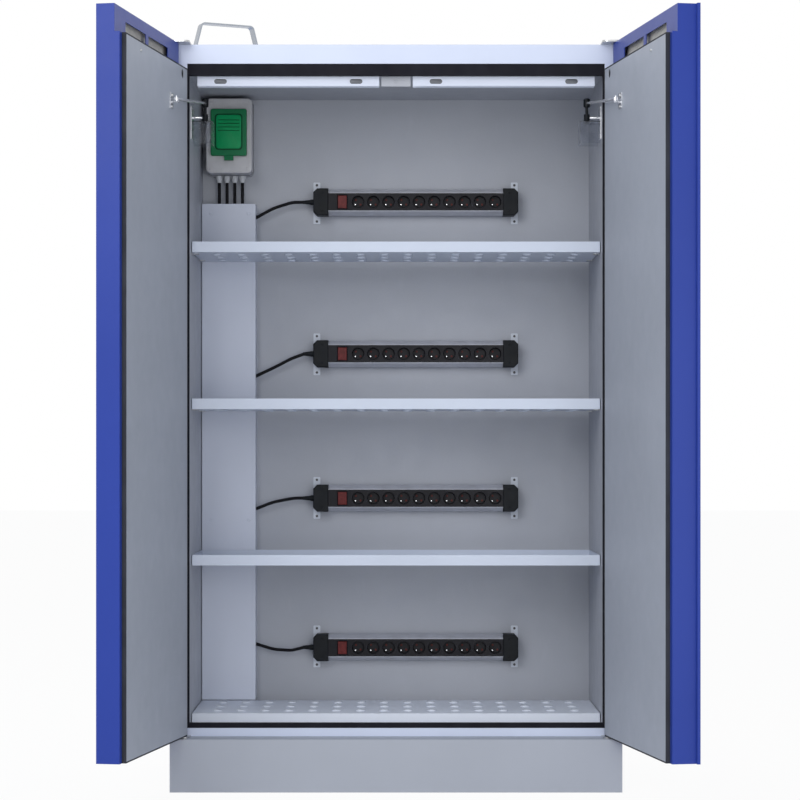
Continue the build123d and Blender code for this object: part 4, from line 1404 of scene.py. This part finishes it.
@dataclass
class Studio:
    """Plain floor and backdrop, soft lamps and the camera."""

    distance: float = 6.4295
    eye_height: float = 0.904
    lens: float = 109.6
    shift: Pair = (0.005, 0.0625)
    ambient: float = 0.66
    aim: Point = (0.0, 0.2, 1.0)
    floor_white: float = 0.93
    floor_half: float = 30.0
    floor_drop: float = 0.0005

    def build(self) -> None:
        """Make the floor, the light and the camera."""
        self.floor()
        self.world()
        self.lamp("key", (-2.0, -4.4, 3.2), 2.6, 96.0)
        self.lamp("fill", (1.4, -5.2, 0.9), 2.6, 56.0)
        self.lamp("top", (0.0, 0.4, 4.2), 3.0, 24.0)
        data = bpy.data.cameras.new("camera")
        data.lens = self.lens
        data.sensor_width = 36.0
        data.shift_x, data.shift_y = self.shift
        camera = bpy.data.objects.new("camera", data)
        camera.location = (0.0, -self.distance, self.eye_height)
        camera.rotation_euler = (math.radians(90), 0, 0)
        bpy.context.collection.objects.link(camera)
        bpy.context.scene.camera = camera
        bpy.context.scene.view_settings.view_transform = "Standard"

    def lamp(self, name: str, place: Point, size: float, power: float) -> None:
        """Add a soft square lamp that looks at the middle of the cabinet.

        Args:
            name: Name of the lamp.
            place: Where it hangs.
            size: Edge of the square.
            power: In watts.
        """
        data = bpy.data.lights.new(name, "AREA")
        data.size = size
        data.energy = power
        lamp = bpy.data.objects.new(name, data)
        lamp.location = place
        sight = Vector(self.aim) - Vector(place)
        lamp.rotation_euler = sight.to_track_quat("-Z", "Y").to_euler()
        bpy.context.collection.objects.link(lamp)

    def seen(self, tree: bpy.types.NodeTree) -> Socket:
        """1 for rays from the camera, from a mirror and through glass.

        Args:
            tree: The node tree to work in.

        Returns:
            The value.
        """
        path = tree.nodes.new("ShaderNodeLightPath")
        total = path.outputs["Is Camera Ray"]
        for key in ("Is Glossy Ray", "Is Transmission Ray"):
            add = tree.nodes.new("ShaderNodeMath")
            add.operation = "MAXIMUM"
            tree.links.new(total, add.inputs[0])
            tree.links.new(path.outputs[key], add.inputs[1])
            total = add.outputs["Value"]
        return total

    def floor(self) -> None:
        """A wide pale floor that keeps the cabinet's shadow."""
        form = bmesh.new()
        for x, y in ((-1, -1), (1, -1), (1, 1), (-1, 1)):
            form.verts.new((x * self.floor_half, y * self.floor_half, -self.floor_drop))
        form.verts.ensure_lookup_table()
        form.faces.new(form.verts)
        floor = linked("floor", mesh_of(form, "floor"))
        material = bpy.data.materials.new("floor")
        material.use_nodes = True
        shader = material.node_tree.nodes["Principled BSDF"]
        shader.inputs["Base Color"].default_value = (0.9, 0.9, 0.9, 1)
        shader.inputs["Roughness"].default_value = 0.9
        tree = material.node_tree
        white = tree.nodes.new("ShaderNodeEmission")
        white.inputs["Color"].default_value = (1, 1, 1, 1)
        share = tree.nodes.new("ShaderNodeMath")
        share.operation = "MULTIPLY"
        share.inputs[1].default_value = self.floor_white
        tree.links.new(self.seen(tree), share.inputs[0])
        mix = tree.nodes.new("ShaderNodeMixShader")
        tree.links.new(share.outputs["Value"], mix.inputs[0])
        tree.links.new(shader.outputs["BSDF"], mix.inputs[1])
        tree.links.new(white.outputs["Emission"], mix.inputs[2])
        tree.links.new(mix.outputs["Shader"], tree.nodes["Material Output"].inputs["Surface"])
        floor.data.materials.append(material)

    def world(self) -> None:
        """An even world that shows white and lights the object softly."""
        world = bpy.data.worlds.new("world")
        world.use_nodes = True
        tree = world.node_tree
        sky = tree.nodes["Background"]
        sky.inputs["Color"].default_value = (0.93, 0.96, 1.0, 1)
        sky.inputs["Strength"].default_value = self.ambient
        white = tree.nodes.new("ShaderNodeBackground")
        white.inputs["Color"].default_value = (1, 1, 1, 1)
        white.inputs["Strength"].default_value = 1.0
        mix = tree.nodes.new("ShaderNodeMixShader")
        tree.links.new(self.seen(tree), mix.inputs[0])
        tree.links.new(sky.outputs["Background"], mix.inputs[1])
        tree.links.new(white.outputs["Background"], mix.inputs[2])
        tree.links.new(mix.outputs["Shader"], tree.nodes["World Output"].inputs["Surface"])
        bpy.context.scene.world = world


def finish_nodes(frame: dict, shop: Workshop) -> None:
    """Give every node of the frame its finish.

    Args:
        frame: The loaded frame.
        shop: Finishes and trees.
    """
    for finish, names in NODE_FINISHES.items():
        for name in names:
            thing = frame["nodes"][name]
            thing.data.materials.clear()
            thing.data.materials.append(shop.finishes[finish])
    missing = set(frame["nodes"]) - {name for names in NODE_FINISHES.values() for name in names}
    if missing:
        log.warning("nodes without a finish: %s", sorted(missing))


def main() -> None:
    """Dress the cabinet and set the studio."""
    logging.basicConfig(level=logging.INFO, format="%(name)s: %(message)s")
    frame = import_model()
    shop = Workshop()
    shop.open()
    finish_nodes(frame, shop)
    for part in (SocketStrips(), DistributionBox(), CloserRails(), ShelfHoles(), CableDuct(),
                 OpeningTrim(), DoorFurniture()):
        part.build(shop)
        log.info("built %s", type(part).__name__)
    Studio().build()


if __name__ == "__main__":
    main()
